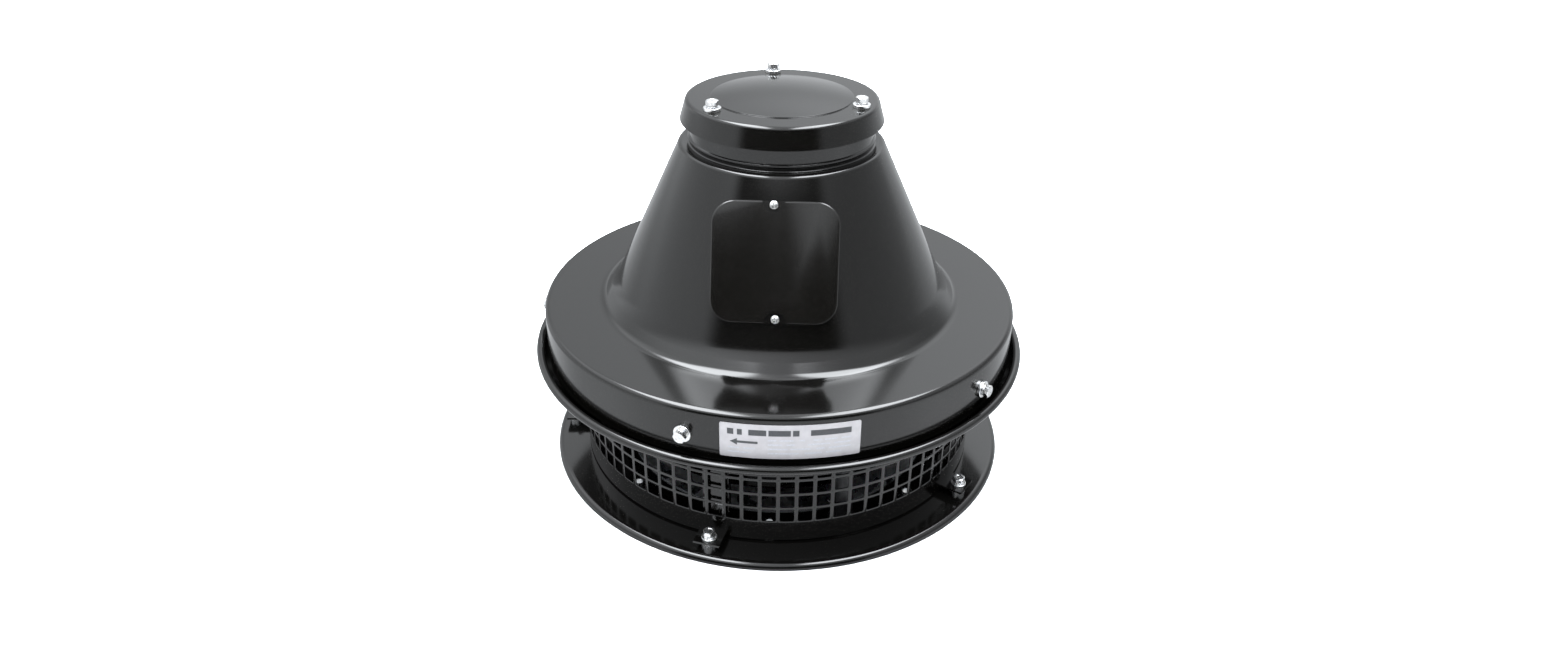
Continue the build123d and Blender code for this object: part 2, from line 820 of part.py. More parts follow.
def bearing_ball_set(bottom):
    """The balls of a bearing and the cage that spaces them."""
    middle = bottom + bearing_width / 2
    ball = Pos(bearing_pitch_radius, 0, middle) * Sphere(ball_radius)
    pocket = Pos(bearing_pitch_radius, 0, middle) * Sphere(ball_radius + 0.1)
    cage = tube(12.2, 9.8, middle - 1.6, middle + 4.2) - around(pocket, ball_count)
    return [cage] + around(ball, ball_count)


def rotor_shaft():
    """Stepped shaft that carries the rotor, both bearings, the cooling fan and the impeller."""
    shaft = turned(
        (0, shaft_end),
        (shaft_end_radius, shaft_end),
        (shaft_end_radius, 97.0),
        (shaft_bearing_radius, 97.0),
        (shaft_bearing_radius, drive_bearing_bottom + bearing_width),
        (shaft_body_radius, drive_bearing_bottom + bearing_width),
        (shaft_body_radius, rear_bearing_bottom),
        (shaft_bearing_radius, rear_bearing_bottom),
        (shaft_bearing_radius, 213.0),
        (5.0, 213.0),
        (5.0, 236.0),
        (0, 236.0),
    )
    return shaft - key_space() - rod(2.0, shaft_end - 1, shaft_end + 14)


def rotor_core():
    """Laminated rotor pack with its cast end rings."""
    return turned(
        (shaft_body_radius, stator_bottom + 1),
        (22.0, stator_bottom + 1),
        (22.0, stator_bottom - 4),
        (29.0, stator_bottom - 4),
        (29.0, stator_bottom + 1),
        (rotor_core_radius, stator_bottom + 1),
        (rotor_core_radius, stator_top - 1),
        (29.0, stator_top - 1),
        (29.0, stator_top + 4),
        (22.0, stator_top + 4),
        (22.0, stator_top - 1),
        (shaft_body_radius, stator_top - 1),
    )


def motor_cooling_fan():
    """Small radial fan on the shaft's rear end, inside the cowl."""
    wheel = tube(9.0, 5.0, 218.0, 232.0) + tube(50.0, 5.0, 222.0, 224.0)
    blade = block((9.5, 50.0), (-0.8, 0.8), (223.0, 235.0))
    return wheel + around(blade, 8, 22.5)


def motor_fan_cowl():
    """Cup over the cooling fan, with a ring of slots in its top."""
    cup = turned_sheet(
        cowl_sheet,
        (cowl_radius, cowl_bottom),
        (cowl_radius, cowl_top, 4),
        (12.0, cowl_top),
    )
    slot = block((20.0, 46.0), (-2.5, 2.5), (cowl_top - 5, cowl_top + 5))
    screws = around(outward(rod(1.5, -6, 5), cowl_radius, cowl_bottom + 4.5), 3, 30)
    return cup - around(slot, 12) - screws


def cowl_screw():
    """Small screw that holds the cowl on the rear end shield."""
    return outward(rod(1.5, -cowl_sheet, 0) + rod(2.8, 0, 1.8), cowl_radius, cowl_bottom + 4.5)


# ---- wiring parts ---------------------------------------------------------------------------------
def terminal_bracket():
    """Bent strip from the deck that holds the terminal box behind the access cover."""
    top_of_deck = deck_underside + deck_sheet
    foot = block((-25, 25), (-box_back - 18, -box_back), (top_of_deck, top_of_deck + 2))
    riser = block((-25, 25), (-box_back, 2 - box_back), (top_of_deck, box_top - 6))
    return foot + riser


def terminal_box():
    """Plastic terminal box, open towards the access cover."""
    half = box_width / 2
    front = -box_back - box_depth
    box = block((-half, half), (front, -box_back), (box_bottom, box_top))
    hollow = block(
        (box_wall - half, half - box_wall),
        (front - 1, -box_back - box_wall),
        (box_bottom + box_wall, box_top - box_wall),
    )
    gland_hole = Pos(gland_offset, -box_back - box_depth / 2, 0) * rod(7.0, box_bottom - 5, box_bottom + 5)
    return fillet(box.edges().filter_by(Axis.Y), 4) - hollow - gland_hole


def terminal_box_lid():
    """Lid of the terminal box."""
    half = box_width / 2
    front = -box_back - box_depth
    lid = block((-half, half), (front - 2.5, front), (box_bottom, box_top))
    return fillet(lid.edges().filter_by(Axis.Y), 4)


def terminal_block():
    """Moulded terminal block on the floor of the box."""
    low = -box_back - box_wall - 12
    body = block((-26, 26), (low, -box_back - box_wall), (228, 246))
    barriers = [block((x - 0.6, x + 0.6), (low - 3, low), (228, 246)) for x in (-25.4, -13, 0, 13, 25.4)]
    wells = [Pos(x, low, 237) * Rot(90, 0, 0) * rod(2.0, -6, 3) for x in (-19.5, -6.5, 6.5, 19.5)]
    return body + barriers - wells


def terminal_screws():
    """Brass clamp screws of the terminal block."""
    low = -box_back - box_wall - 12
    slot = block((-4, 4), (-0.4, 0.4), (1.6, 3))
    screw = rod(2.0, -6, 0) + rod(3.6, 0, 2.4) - slot
    return [Pos(x, low, 237) * Rot(90, 0, 0) * screw for x in (-19.5, -6.5, 6.5, 19.5)]


def cable_gland():
    """Plastic gland in the floor of the terminal box."""
    body = rod(7.0, box_bottom, box_bottom + 2) + hex_bar(18.0, box_bottom - 6, box_bottom)
    body = body + rod(8.0, box_bottom - 14, box_bottom - 6) + rod(9.0, box_bottom + 2, box_bottom + 5)
    bore = rod(5.0, box_bottom - 20, box_bottom + 10)
    return Pos(gland_offset, -box_back - box_depth / 2, 0) * (body - bore)


def capacitor():
    """Run capacitor of the single-phase motor."""
    top_of_deck = deck_underside + deck_sheet
    can = turned(
        (0, top_of_deck + 2),
        (capacitor_radius, top_of_deck + 2),
        (capacitor_radius, top_of_deck + capacitor_height, 2),
        (0, top_of_deck + capacitor_height),
    )
    tabs = [
        block((x - 3, x + 3), (-0.5, 0.5), (top_of_deck + capacitor_height, top_of_deck + capacitor_height + 9))
        for x in (-7, 7)
    ]
    return Pos(0, capacitor_distance, 0) * (can + tabs)


def capacitor_clamp():
    """Sheet clamp that holds the capacitor to the deck."""
    top_of_deck = deck_underside + deck_sheet
    cup = rod(capacitor_radius + 1.5, top_of_deck, top_of_deck + 24)
    cup = cup - rod(capacitor_radius, top_of_deck + 2, top_of_deck + 30)
    ear = block((-capacitor_radius - 14, capacitor_radius + 14), (-8, 8), (top_of_deck, top_of_deck + 2))
    holes = [Pos(x, 0, 0) * rod(2.5, top_of_deck - 1, top_of_deck + 5) for x in (-25, 25)]
    return Pos(0, capacitor_distance, 0) * (cup + ear - holes)


def conduit_tube():
    """Tube that takes the supply cable up through the air stream, from under the base to the motor space."""
    tube_wall = tube(conduit_radius, conduit_bore_radius, conduit_bottom, conduit_top)
    lower_collar = tube(conduit_radius + 4, conduit_bore_radius, base_top, base_top + 3)
    upper_collar = tube(conduit_radius + 4, conduit_bore_radius, deck_underside - 3, deck_underside)
    return Rot(0, 0, conduit_angle) * upright(tube_wall + lower_collar + upper_collar, conduit_circle)


# ---- the assembly ---------------------------------------------------------------------------------
def assembly():
    """Every node of the fan, as name to shape or list of shapes."""
    return {
        "base_plate": base_plate(),
        "inlet_nozzle": inlet_nozzle(),
        "nozzle_rivets": around(nozzle_rivet(), nozzle_rivet_count, nozzle_rivet_angle),
        "flange_rivet_nuts": around(flange_rivet_nut(), flange_bolt_count),
        "support_legs": around(support_leg(), post_count, leg_first_angle),
        "base_bolts": around(base_bolt(), post_count, leg_first_angle)
        + around(base_lock_washer(), post_count, leg_first_angle),
        "base_washers": around(base_washer(), post_count, leg_first_angle),
        "base_standoffs": around(base_standoff(), post_count, leg_first_angle),
        "mesh_guard": mesh_guard(),
        "mesh_top_ring": mesh_top_ring(),
        "deck_plate": deck_plate(),
        "deck_bolts": around(deck_bolt(), post_count, leg_first_angle),
        "deck_nuts": around(deck_nut(), post_count, leg_first_angle),
        "hood_shell": hood_shell(),
        "hood_brackets": around(hood_bracket(), post_count, hood_first_angle),
        "bracket_rivets": around(bracket_rivet(), post_count, hood_first_angle + bracket_rivet_offset),
        "hood_bolts": around(hood_bolt(), post_count, hood_first_angle)
        + around(hood_lock_washer(), post_count, hood_first_angle),
        "hood_washers": around(hood_washer(), post_count, hood_first_angle),
        "rain_cap": rain_cap(),
        "cap_bolts": around(cap_bolt(), cap_bolt_count, cap_first_angle)
        + around(cap_lock_washer(), cap_bolt_count, cap_first_angle),
        "cap_washers": around(cap_washer(), cap_bolt_count, cap_first_angle),
        "cap_standoffs": around(cap_standoff(), cap_bolt_count, cap_first_angle),
        "access_cover": access_cover(),
        "cover_gasket": cover_gasket(),
        "cover_screws": [
            on_cover(Pos(0, 0, cover_notch_floor) * cover_screw(), side * cover_screw_offset) for side in (-1, 1)
        ],
        "rating_plate": rating_plate(),
        "drive_end_shield": drive_end_shield(),
        "motor_frame": motor_frame(),
        "stator_core": stator_core(),
        "stator_windings": stator_windings(),
        "rear_end_shield": rear_end_shield(),
        "motor_tie_bolts": around(tie_bolt(), 4, 45),
        "motor_bolts": around(motor_bolt(), 4),
        "drive_bearing_outer_ring": bearing_outer_ring(drive_bearing_bottom),
        "rear_bearing_outer_ring": bearing_outer_ring(rear_bearing_bottom),
        "motor_fan_cowl": motor_fan_cowl(),
        "cowl_screws": around(cowl_screw(), 3, 30),
        "terminal_bracket": terminal_bracket(),
        "terminal_box": terminal_box(),
        "terminal_box_lid": terminal_box_lid(),
        "terminal_block": terminal_block(),
        "terminal_screws": terminal_screws(),
        "cable_gland": cable_gland(),
        "capacitor": capacitor(),
        "capacitor_clamp": capacitor_clamp(),
        "conduit_tube": conduit_tube(),
        "rotor_shaft": rotor_shaft(),
        "rotor_core": rotor_core(),
        "shaft_key": key_space(),
        "motor_cooling_fan": motor_cooling_fan(),
        "drive_bearing_inner_ring": bearing_inner_ring(drive_bearing_bottom),
        "rear_bearing_inner_ring": bearing_inner_ring(rear_bearing_bottom),
        "impeller_hub": impeller_hub(),
        "impeller_hub_rivets": around(hub_rivet(), 6),
        "impeller_back_plate": impeller_back_plate(),
        "impeller_blades": around(impeller_blade(), blade_count),
        "impeller_shroud": impeller_shroud(),
        "impeller_fixings": [impeller_washer(), impeller_screw()],
        "drive_bearing_ball_set": bearing_ball_set(drive_bearing_bottom),
        "rear_bearing_ball_set": bearing_ball_set(rear_bearing_bottom),
    }


os.makedirs("parts", exist_ok=True)
for name, shape in assembly().items():
    solids = shape if isinstance(shape, list) else [shape]
    node = Compound(label=name, children=[solid for item in solids for solid in item.solids()])
    export_step(node, f"parts/{name}.step")
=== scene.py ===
"""Looks for the roof exhaust fan: shells, guard, access cover, fasteners, rating plate and studio.

Everything is in metres in the part's own frame. The fan stands on z = 0 about Z, and -Y is its front.
"""

import math

import bmesh
import bpy
from mathutils import Matrix, Vector


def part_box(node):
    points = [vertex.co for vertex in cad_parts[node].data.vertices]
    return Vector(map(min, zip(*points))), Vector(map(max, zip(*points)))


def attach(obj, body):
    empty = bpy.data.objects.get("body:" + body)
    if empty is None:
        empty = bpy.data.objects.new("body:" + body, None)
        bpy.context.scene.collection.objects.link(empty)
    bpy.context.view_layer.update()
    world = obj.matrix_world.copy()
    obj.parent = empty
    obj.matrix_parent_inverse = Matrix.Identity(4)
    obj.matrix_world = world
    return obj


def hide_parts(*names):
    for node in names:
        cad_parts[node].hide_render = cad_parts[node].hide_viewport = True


mm = 0.001

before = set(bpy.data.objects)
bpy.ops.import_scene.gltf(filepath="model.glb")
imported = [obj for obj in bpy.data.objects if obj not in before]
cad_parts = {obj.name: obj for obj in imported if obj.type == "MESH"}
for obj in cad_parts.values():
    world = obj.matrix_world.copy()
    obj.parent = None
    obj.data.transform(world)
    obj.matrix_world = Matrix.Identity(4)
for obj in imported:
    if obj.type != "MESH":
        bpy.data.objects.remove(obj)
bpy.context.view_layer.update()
scene = bpy.context.scene

# ---- sizes that the frame gives ------------------------------------------------------------------
base_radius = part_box("base_plate")[1].x
base_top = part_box("base_plate")[1].z
skirt_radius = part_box("hood_shell")[1].x
skirt_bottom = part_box("hood_shell")[0].z
neck_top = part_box("hood_shell")[1].z
cap_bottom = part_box("rain_cap")[0].z
cap_bottom_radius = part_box("rain_cap")[1].x
cap_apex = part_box("rain_cap")[1].z
mesh_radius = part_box("mesh_guard")[1].x
mesh_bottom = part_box("mesh_guard")[0].z
deck_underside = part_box("deck_plate")[0].z
lip_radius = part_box("deck_plate")[1].x
lip_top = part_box("deck_plate")[1].z
base_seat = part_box("base_washers")[0].z
cap_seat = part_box("cap_washers")[0].z
hood_bolt_height = (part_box("hood_washers")[0].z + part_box("hood_washers")[1].z) / 2
plain_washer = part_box("base_washers")[1].z - base_seat
sealing_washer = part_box("cap_washers")[1].z - cap_seat
plate_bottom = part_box("rating_plate")[0].z
plate_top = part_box("rating_plate")[1].z

# ---- sizes of the sheets and places of the fasteners ---------------------------------------------
base_sheet = 2.0 * mm
base_hole_radius = 137.0 * mm
base_edge_bend = 5.5 * mm
deck_sheet = 2.0 * mm
deck_hole_radius = 47.5 * mm
deck_wall_foot = 211.0 * mm
lip_bead_radius = 4.0 * mm
hood_sheet = 1.5 * mm
brim_edge_height = 160.5 * mm
brim_inner_height = 163.5 * mm
cone_foot_radius = 162.0 * mm
foot_radius = 169.5 * mm
foot_height = 161.0 * mm
foot_fillet = 10.0 * mm
flare_height = 176.0 * mm
cone_slope = 0.4632
shoulder_height = 312.5 * mm
neck_radius = 83.5 * mm
neck_hole_radius = 62.0 * mm
cap_sheet = 1.5 * mm
cap_top = cap_seat
cap_top_radius = 86.2 * mm
cap_dome_radius = 63.0 * mm
cap_dome_step = 0.8 * mm
mesh_sheet = 1.2 * mm
mesh_columns = 76
mesh_rows = 4
mesh_first_opening = 29.5 * mm
mesh_row_pitch = 15.25 * mm
mesh_opening_height = 12.25 * mm
mesh_opening_width = 12.5 * mm

post_count = 5
leg_first_angle = -104.4
hood_first_angle = -108.0
cap_bolt_count = 3
cap_first_angle = 99.0
base_bolt_circle = 208.0 * mm
cap_bolt_circle = 74.5 * mm
bolt_flats = 10.0 * mm
bolt_head = 4.4 * mm
bolt_shank = 3.0 * mm
thread_pitch = 1.0 * mm
washer_radius = 7.75 * mm
base_washer_radius = 7.0 * mm
washer_hole = 3.3 * mm
lock_washer_radius = 5.2 * mm
lock_washer = 1.6 * mm
standoff_neck = 5.5 * mm
plate_first_angle = -100.0
plate_arc = 29.4
plate_radius = skirt_radius + 0.4 * mm
flange_bolt_circle = 355.0 / 2 * mm
flange_bolt_count = 8
flange_hole_radius = 5.5 * mm
nozzle_rivet_circle = 145.0 * mm
nozzle_rivet_count = 8
nozzle_rivet_angle = 22.5
nozzle_rivet_radius = 1.6 * mm
conduit_circle = 171.0 * mm
conduit_angle = -67.5
conduit_hole_radius = 9.0 * mm


# ---- node-based materials ------------------------------------------------------------------------
class Finish:
    """A material made of one Principled shader and procedural nodes in the object's own coordinates."""

    def __init__(self, name, colour, roughness, metallic=0.0, ior=1.5):
        self.material = bpy.data.materials.new(name)
        self.material.use_nodes = True
        self.nodes = self.material.node_tree.nodes
        self.links = self.material.node_tree.links
        self.shader = self.nodes["Principled BSDF"]
        self.shader.inputs["Base Color"].default_value = (*colour, 1.0)
        self.shader.inputs["Roughness"].default_value = roughness
        self.shader.inputs["Metallic"].default_value = metallic
        self.shader.inputs["IOR"].default_value = ior
        self.place = self.nodes.new("ShaderNodeTexCoord").outputs["Object"]
        self.last_bump = None

    def stretched(self, scale):
        """The object's coordinates, scaled on each axis."""
        mapping = self.nodes.new("ShaderNodeMapping")
        mapping.inputs["Scale"].default_value = scale
        self.links.new(self.place, mapping.inputs["Vector"])
        return mapping.outputs["Vector"]

    def noise(self, scale, detail=3.0, stretch=None):
        """Cloudy noise with features of about 1 / scale metres."""
        texture = self.nodes.new("ShaderNodeTexNoise")
        texture.inputs["Scale"].default_value = scale
        texture.inputs["Detail"].default_value = detail
        self.links.new(self.stretched(stretch) if stretch else self.place, texture.inputs["Vector"])
        return texture.outputs["Fac"]

    def cells(self, scale, stretch=None):
        """A random grey for each crystal-like cell."""
        texture = self.nodes.new("ShaderNodeTexVoronoi")
        texture.inputs["Scale"].default_value = scale
        self.links.new(self.stretched(stretch) if stretch else self.place, texture.inputs["Vector"])
        grey = self.nodes.new("ShaderNodeRGBToBW")
        self.links.new(texture.outputs["Color"], grey.inputs["Color"])
        return grey.outputs["Val"]

    def rings(self, pitch, direction="Z", distortion=0.0):
        """Even bands across one axis, a pitch apart."""
        texture = self.nodes.new("ShaderNodeTexWave")
        texture.wave_type = "BANDS"
        texture.bands_direction = direction
        texture.inputs["Scale"].default_value = math.pi / (10.0 * pitch)
        texture.inputs["Distortion"].default_value = distortion
        self.links.new(self.place, texture.inputs["Vector"])
        return texture.outputs["Fac"]

    def upward(self):
        """1 on faces that look up, 0 on faces that look down or sideways."""
        normal = self.nodes.new("ShaderNodeNewGeometry").outputs["Normal"]
        split = self.nodes.new("ShaderNodeSeparateXYZ")
        self.links.new(normal, split.inputs["Vector"])
        return self.ranged(split.outputs["Z"], 0.35, 0.95, 0.0, 1.0)

    def ranged(self, value, low, high, to_low, to_high):
        """A value mapped from one range to another and held inside it."""
        node = self.nodes.new("ShaderNodeMapRange")
        node.inputs["From Min"].default_value = low
        node.inputs["From Max"].default_value = high
        node.inputs["To Min"].default_value = to_low
        node.inputs["To Max"].default_value = to_high
        self.links.new(value, node.inputs["Value"])
        return node.outputs["Result"]

    def times(self, first, second):
        """The product of two values."""
        node = self.nodes.new("ShaderNodeMath")
        node.operation = "MULTIPLY"
        self.links.new(first, node.inputs[0])
        self.links.new(second, node.inputs[1])
        return node.outputs["Value"]

    def colours(self, value, *stops):
        """Sets the base colour from (position, colour) stops along a value."""
        ramp = self.nodes.new("ShaderNodeValToRGB")
        elements = ramp.color_ramp.elements
        for index, (position, colour) in enumerate(stops):
            element = elements[index] if index < 2 else elements.new(position)
            element.position = position
            element.color = (*colour, 1.0)
        self.links.new(value, ramp.inputs["Fac"])
        self.links.new(ramp.outputs["Color"], self.shader.inputs["Base Color"])
        return self

    def roughened(self, value, smooth, rough):
        """Sets the roughness to run from smooth to rough along a value."""
        self.links.new(self.ranged(value, 0.3, 0.7, smooth, rough), self.shader.inputs["Roughness"])
        return self

    def bumped(self, value, height, strength=1.0):
        """Adds relief of that height, in metres, on top of the relief so far."""
        node = self.nodes.new("ShaderNodeBump")
        node.inputs["Strength"].default_value = strength
        node.inputs["Distance"].default_value = height
        self.links.new(value, node.inputs["Height"])
        if self.last_bump:
            self.links.new(self.last_bump, node.inputs["Normal"])
        self.last_bump = node.outputs["Normal"]
        self.links.new(self.last_bump, self.shader.inputs["Normal"])
        return self


def black_paint():
    """Gloss black powder coat: orange peel, faint dust on upward faces, and cloudy changes of gloss."""
    finish = Finish("black_paint", (0.0014, 0.0013, 0.0012), 0.12)
    dust = finish.times(finish.upward(), finish.noise(900.0, 6.0))
    finish.colours(dust, (0.0, (0.0014, 0.0013, 0.0011)), (1.0, (0.003, 0.0029, 0.0028)))
    finish.roughened(finish.noise(22.0, 4.0), 0.1, 0.15)
    finish.bumped(finish.noise(420.0, 2.0), 0.006 * mm, 0.5)
    finish.bumped(finish.noise(2400.0, 1.0), 0.001 * mm, 0.4)
    return finish.material


def cover_plastic():
    """Moulded black plastic with a fine spark-eroded grain."""
    finish = Finish("cover_plastic", (0.0022, 0.002, 0.0018), 0.16)
    finish.colours(finish.noise(60.0), (0.3, (0.0018, 0.0016, 0.0013)), (0.7, (0.0024, 0.0022, 0.0019)))
    finish.roughened(finish.noise(900.0, 2.0), 0.13, 0.19)
    finish.bumped(finish.noise(2600.0, 2.0), 0.0012 * mm, 0.6)
    return finish.material


def zinc_steel():
    """Bright zinc plating with a slight cloudy passivation."""
    finish = Finish("zinc_steel", (0.72, 0.73, 0.75), 0.24, metallic=1.0)
    finish.colours(
        finish.noise(330.0, 4.0),
        (0.3, (0.62, 0.635, 0.66)),
        (0.5, (0.78, 0.785, 0.79)),
        (0.75, (0.83, 0.815, 0.77)),
    )
    finish.roughened(finish.noise(700.0, 3.0), 0.16, 0.34)
    finish.bumped(finish.noise(2600.0, 3.0), 0.01 * mm, 0.6)
    return finish.material


def galvanised_sheet():
    """Hot-dip galvanised sheet with its crystal spangle."""
    finish = Finish("galvanised_sheet", (0.6, 0.61, 0.62), 0.36, metallic=1.0)
    spangle = finish.cells(95.0)
    finish.colours(spangle, (0.1, (0.42, 0.44, 0.46)), (0.5, (0.56, 0.575, 0.59)), (0.9, (0.72, 0.73, 0.74)))
    finish.roughened(spangle, 0.27, 0.46)
    finish.bumped(finish.noise(1300.0, 4.0), 0.012 * mm, 0.6)
    return finish.material


def label_foil():
    """Off-white printed polyester foil."""
    finish = Finish("label_foil", (0.23, 0.225, 0.235), 0.4)
    finish.colours(finish.noise(140.0, 4.0), (0.3, (0.215, 0.208, 0.216)), (0.7, (0.25, 0.243, 0.25)))
    finish.roughened(finish.noise(260.0), 0.36, 0.5)
    finish.bumped(finish.noise(700.0), 0.01 * mm, 0.5)
    return finish.material


def label_ink(name, colour):
    """Matt thermal-transfer print."""
    finish = Finish(name, colour, 0.5)
    lighter = tuple(1.5 * c + 0.01 for c in colour)
    finish.colours(finish.noise(1800.0, 3.0), (0.35, colour), (0.8, lighter))
    finish.roughened(finish.noise(900.0), 0.42, 0.6)
    return finish.material


def cast_aluminium():
    """Die-cast aluminium with a grainy skin."""
    finish = Finish("cast_aluminium", (0.56, 0.565, 0.57), 0.45, metallic=1.0)
    finish.colours(finish.noise(180.0, 5.0), (0.3, (0.44, 0.445, 0.455)), (0.7, (0.63, 0.635, 0.64)))
    finish.roughened(finish.noise(800.0, 4.0), 0.38, 0.58)
    finish.bumped(finish.noise(1700.0, 4.0), 0.05 * mm, 0.7)
    return finish.material


def electrical_steel():
    """Stacked motor laminations, seen on edge as fine lines."""
    finish = Finish("electrical_steel", (0.24, 0.25, 0.27), 0.4, metallic=1.0)
    sheets = finish.rings(1.0 * mm)
    finish.colours(sheets, (0.2, (0.12, 0.125, 0.14)), (0.8, (0.34, 0.345, 0.36)))
    finish.roughened(finish.noise(500.0), 0.34, 0.5)
    finish.bumped(sheets, 0.06 * mm)
    return finish.material


def copper_winding():
    """Enamelled copper wire, wound in strands and varnished."""
    finish = Finish("copper_winding", (0.6, 0.24, 0.1), 0.3, metallic=0.9)
    strands = finish.rings(1.1 * mm, "DIAGONAL", 2.0)
    finish.colours(
        strands,
        (0.1, (0.22, 0.065, 0.025)),
        (0.6, (0.62, 0.25, 0.11)),
        (1.0, (0.78, 0.38, 0.19)),
    )
    finish.roughened(finish.noise(600.0), 0.22, 0.4)
    finish.bumped(strands, 0.25 * mm)
    return finish.material


def turned_steel(name, colour, smooth, rough, pitch):
    """Machined steel with fine lathe lines."""
    finish = Finish(name, colour, rough, metallic=1.0)
    darker = tuple(0.8 * c for c in colour)
    finish.colours(finish.noise(420.0, 3.0), (0.3, darker), (0.7, colour))
    finish.roughened(finish.noise(900.0, 2.0), smooth, rough)
    finish.bumped(finish.rings(pitch), 0.004 * mm, 0.6)
    return finish.material


def moulded(name, colour, smooth, rough, grain):
    """Moulded plastic or rubber with an even grain."""
    finish = Finish(name, colour, rough)
    lighter = tuple(1.25 * c for c in colour)
    finish.colours(finish.noise(120.0, 4.0), (0.3, colour), (0.7, lighter))
    finish.roughened(finish.noise(1100.0, 2.0), smooth, rough)
    finish.bumped(finish.noise(2200.0, 3.0), grain, 0.7)
    return finish.material


finishes = {
    "black_paint": black_paint(),
    "cover_plastic": cover_plastic(),
    "zinc_steel": zinc_steel(),
    "galvanised_sheet": galvanised_sheet(),
    "label_foil": label_foil(),
    "cast_aluminium": cast_aluminium(),
    "electrical_steel": electrical_steel(),
    "copper_winding": copper_winding(),
    "bearing_steel": turned_steel("bearing_steel", (0.68, 0.68, 0.69), 0.08, 0.2, 0.4 * mm),
    "shaft_steel": turned_steel("shaft_steel", (0.5, 0.5, 0.51), 0.22, 0.38, 0.3 * mm),
    "gasket_rubber": moulded("gasket_rubber", (0.012, 0.012, 0.013), 0.62, 0.8, 0.03 * mm),
    "black_plastic": moulded("black_plastic", (0.011, 0.011, 0.012), 0.35, 0.5, 0.015 * mm),
    "grey_plastic": moulded("grey_plastic", (0.3, 0.31, 0.32), 0.38, 0.52, 0.015 * mm),
    "terminal_plastic": moulded("terminal_plastic", (0.56, 0.54, 0.46), 0.34, 0.48, 0.01 * mm),
    "brass": turned_steel("brass", (0.72, 0.5, 0.22), 0.18, 0.34, 0.4 * mm),
}
dark_ink = label_ink("label_ink_dark", (0.02, 0.021, 0.024))
grey_ink = label_ink("label_ink_grey", (0.2, 0.205, 0.22))

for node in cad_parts.values():
    for slot in node.material_slots:
        slot.material = finishes[slot.material.name.split(".")[0]]


# ---- mesh helpers --------------------------------------------------------------------------------
def rounded(outline, lead=0.7 * mm, step=math.radians(9)):
    """The points of a closed outline of (radius, height, fillet) corners.

    Each fillet becomes an arc, with a guard point just outside each end of it, so that flat stretches stay
    flat in the shading.
    """
    points = []
    count = len(outline)
    corners = [Vector(corner[:2]) for corner in outline]
    fillets = [corner[2] if len(corner) > 2 else 0.0 for corner in outline]
    for i, corner in enumerate(corners):
        back = corners[i - 1] - corner
        ahead = corners[(i + 1) % count] - corner
        if fillets[i] <= 0.0:
            points.append(corner)
            continue
        turn = math.pi - back.angle(ahead)
        reach = fillets[i] * math.tan(turn / 2)
        side = 1.0 if back.x * ahead.y - back.y * ahead.x < 0 else -1.0
        start = corner + back.normalized() * reach
        inward = (back.normalized() + ahead.normalized()).normalized()
        spoke = start - (corner + inward * fillets[i] / math.cos(turn / 2))
        centre = start - spoke
        guard = min(lead, 0.25 * (back.length - reach))
        if guard > 0.02 * mm:
            points.append(start + back.normalized() * guard)
        steps = max(2, math.ceil(turn / step))
        for k in range(steps + 1):
            angle = side * turn * k / steps
            turned = Vector((
                spoke.x * math.cos(angle) - spoke.y * math.sin(angle),
                spoke.x * math.sin(angle) + spoke.y * math.cos(angle),
            ))
            points.append(centre + turned)
        guard = min(lead, 0.25 * (ahead.length - reach))
        if guard > 0.02 * mm:
            points.append(points[-1] + ahead.normalized() * guard)
    return points


def far_side(thickness, path):
    """The other side of a sheet, to the left of its near side's path, in the opposite order."""
    side = []
    for i, corner in enumerate(path):
        normals = []
        for a, b in ((i - 1, i), (i, i + 1)):
            if a >= 0 and b < len(path):
                run = Vector((path[b][0] - path[a][0], path[b][1] - path[a][1])).normalized()
                normals.append(Vector((-run.y, run.x)))
        first, last = normals[0], normals[-1]
        offset = (first + last) * thickness / (1 + first.dot(last))
        bend = corner[2] if len(corner) > 2 else 0.0
        if bend:
            turns_left = first.x * last.y - first.y * last.x > 0
            bend = max(bend - thickness, 0.0) if turns_left else bend + thickness
        side.append((corner[0] + offset.x, corner[1] + offset.y, bend))
    return side[::-1]


def sheet(thickness, path, near=None):
    """A closed outline of a sheet along a path, with broken cut edges. near can give a richer near side."""
    outline = list(near or path) + far_side(thickness, path)
    split = len(near or path)
    for i in (0, split - 1, split, len(outline) - 1):
        outline[i] = (outline[i][0], outline[i][1], 0.3 * thickness)
    return rounded(outline)


def lathe(points, segments=288):
    """Turns a closed outline of (radius, height) about Z."""
    verts, faces = [], []
    count = len(points)
    for k in range(segments):
        angle = 2 * math.pi * k / segments
        c, s = math.cos(angle), math.sin(angle)
        verts += [(p[0] * c, p[0] * s, p[1]) for p in points]
    for k in range(segments):
        here, there = k * count, (k + 1) % segments * count
        for i in range(count):
            j = (i + 1) % count
            faces.append((here + i, there + i, there + j, here + j))
    return verts, faces


def joined(shapes):
    """One shape of several."""
    verts, faces = [], []
    for more_verts, more_faces in shapes:
        first = len(verts)
        verts += more_verts
        faces += [tuple(first + i for i in face) for face in more_faces]
    return verts, faces


def moved(shape, matrix):
    """A shape, moved by a matrix."""
    return [tuple(matrix @ Vector(v)) for v in shape[0]], shape[1]


def around(shape, count, first_angle=0.0):
    """Copies of a shape, evenly spaced about Z."""
    turns = (first_angle + 360.0 / count * k for k in range(count))
    return joined([moved(shape, Matrix.Rotation(math.radians(turn), 4, "Z")) for turn in turns])


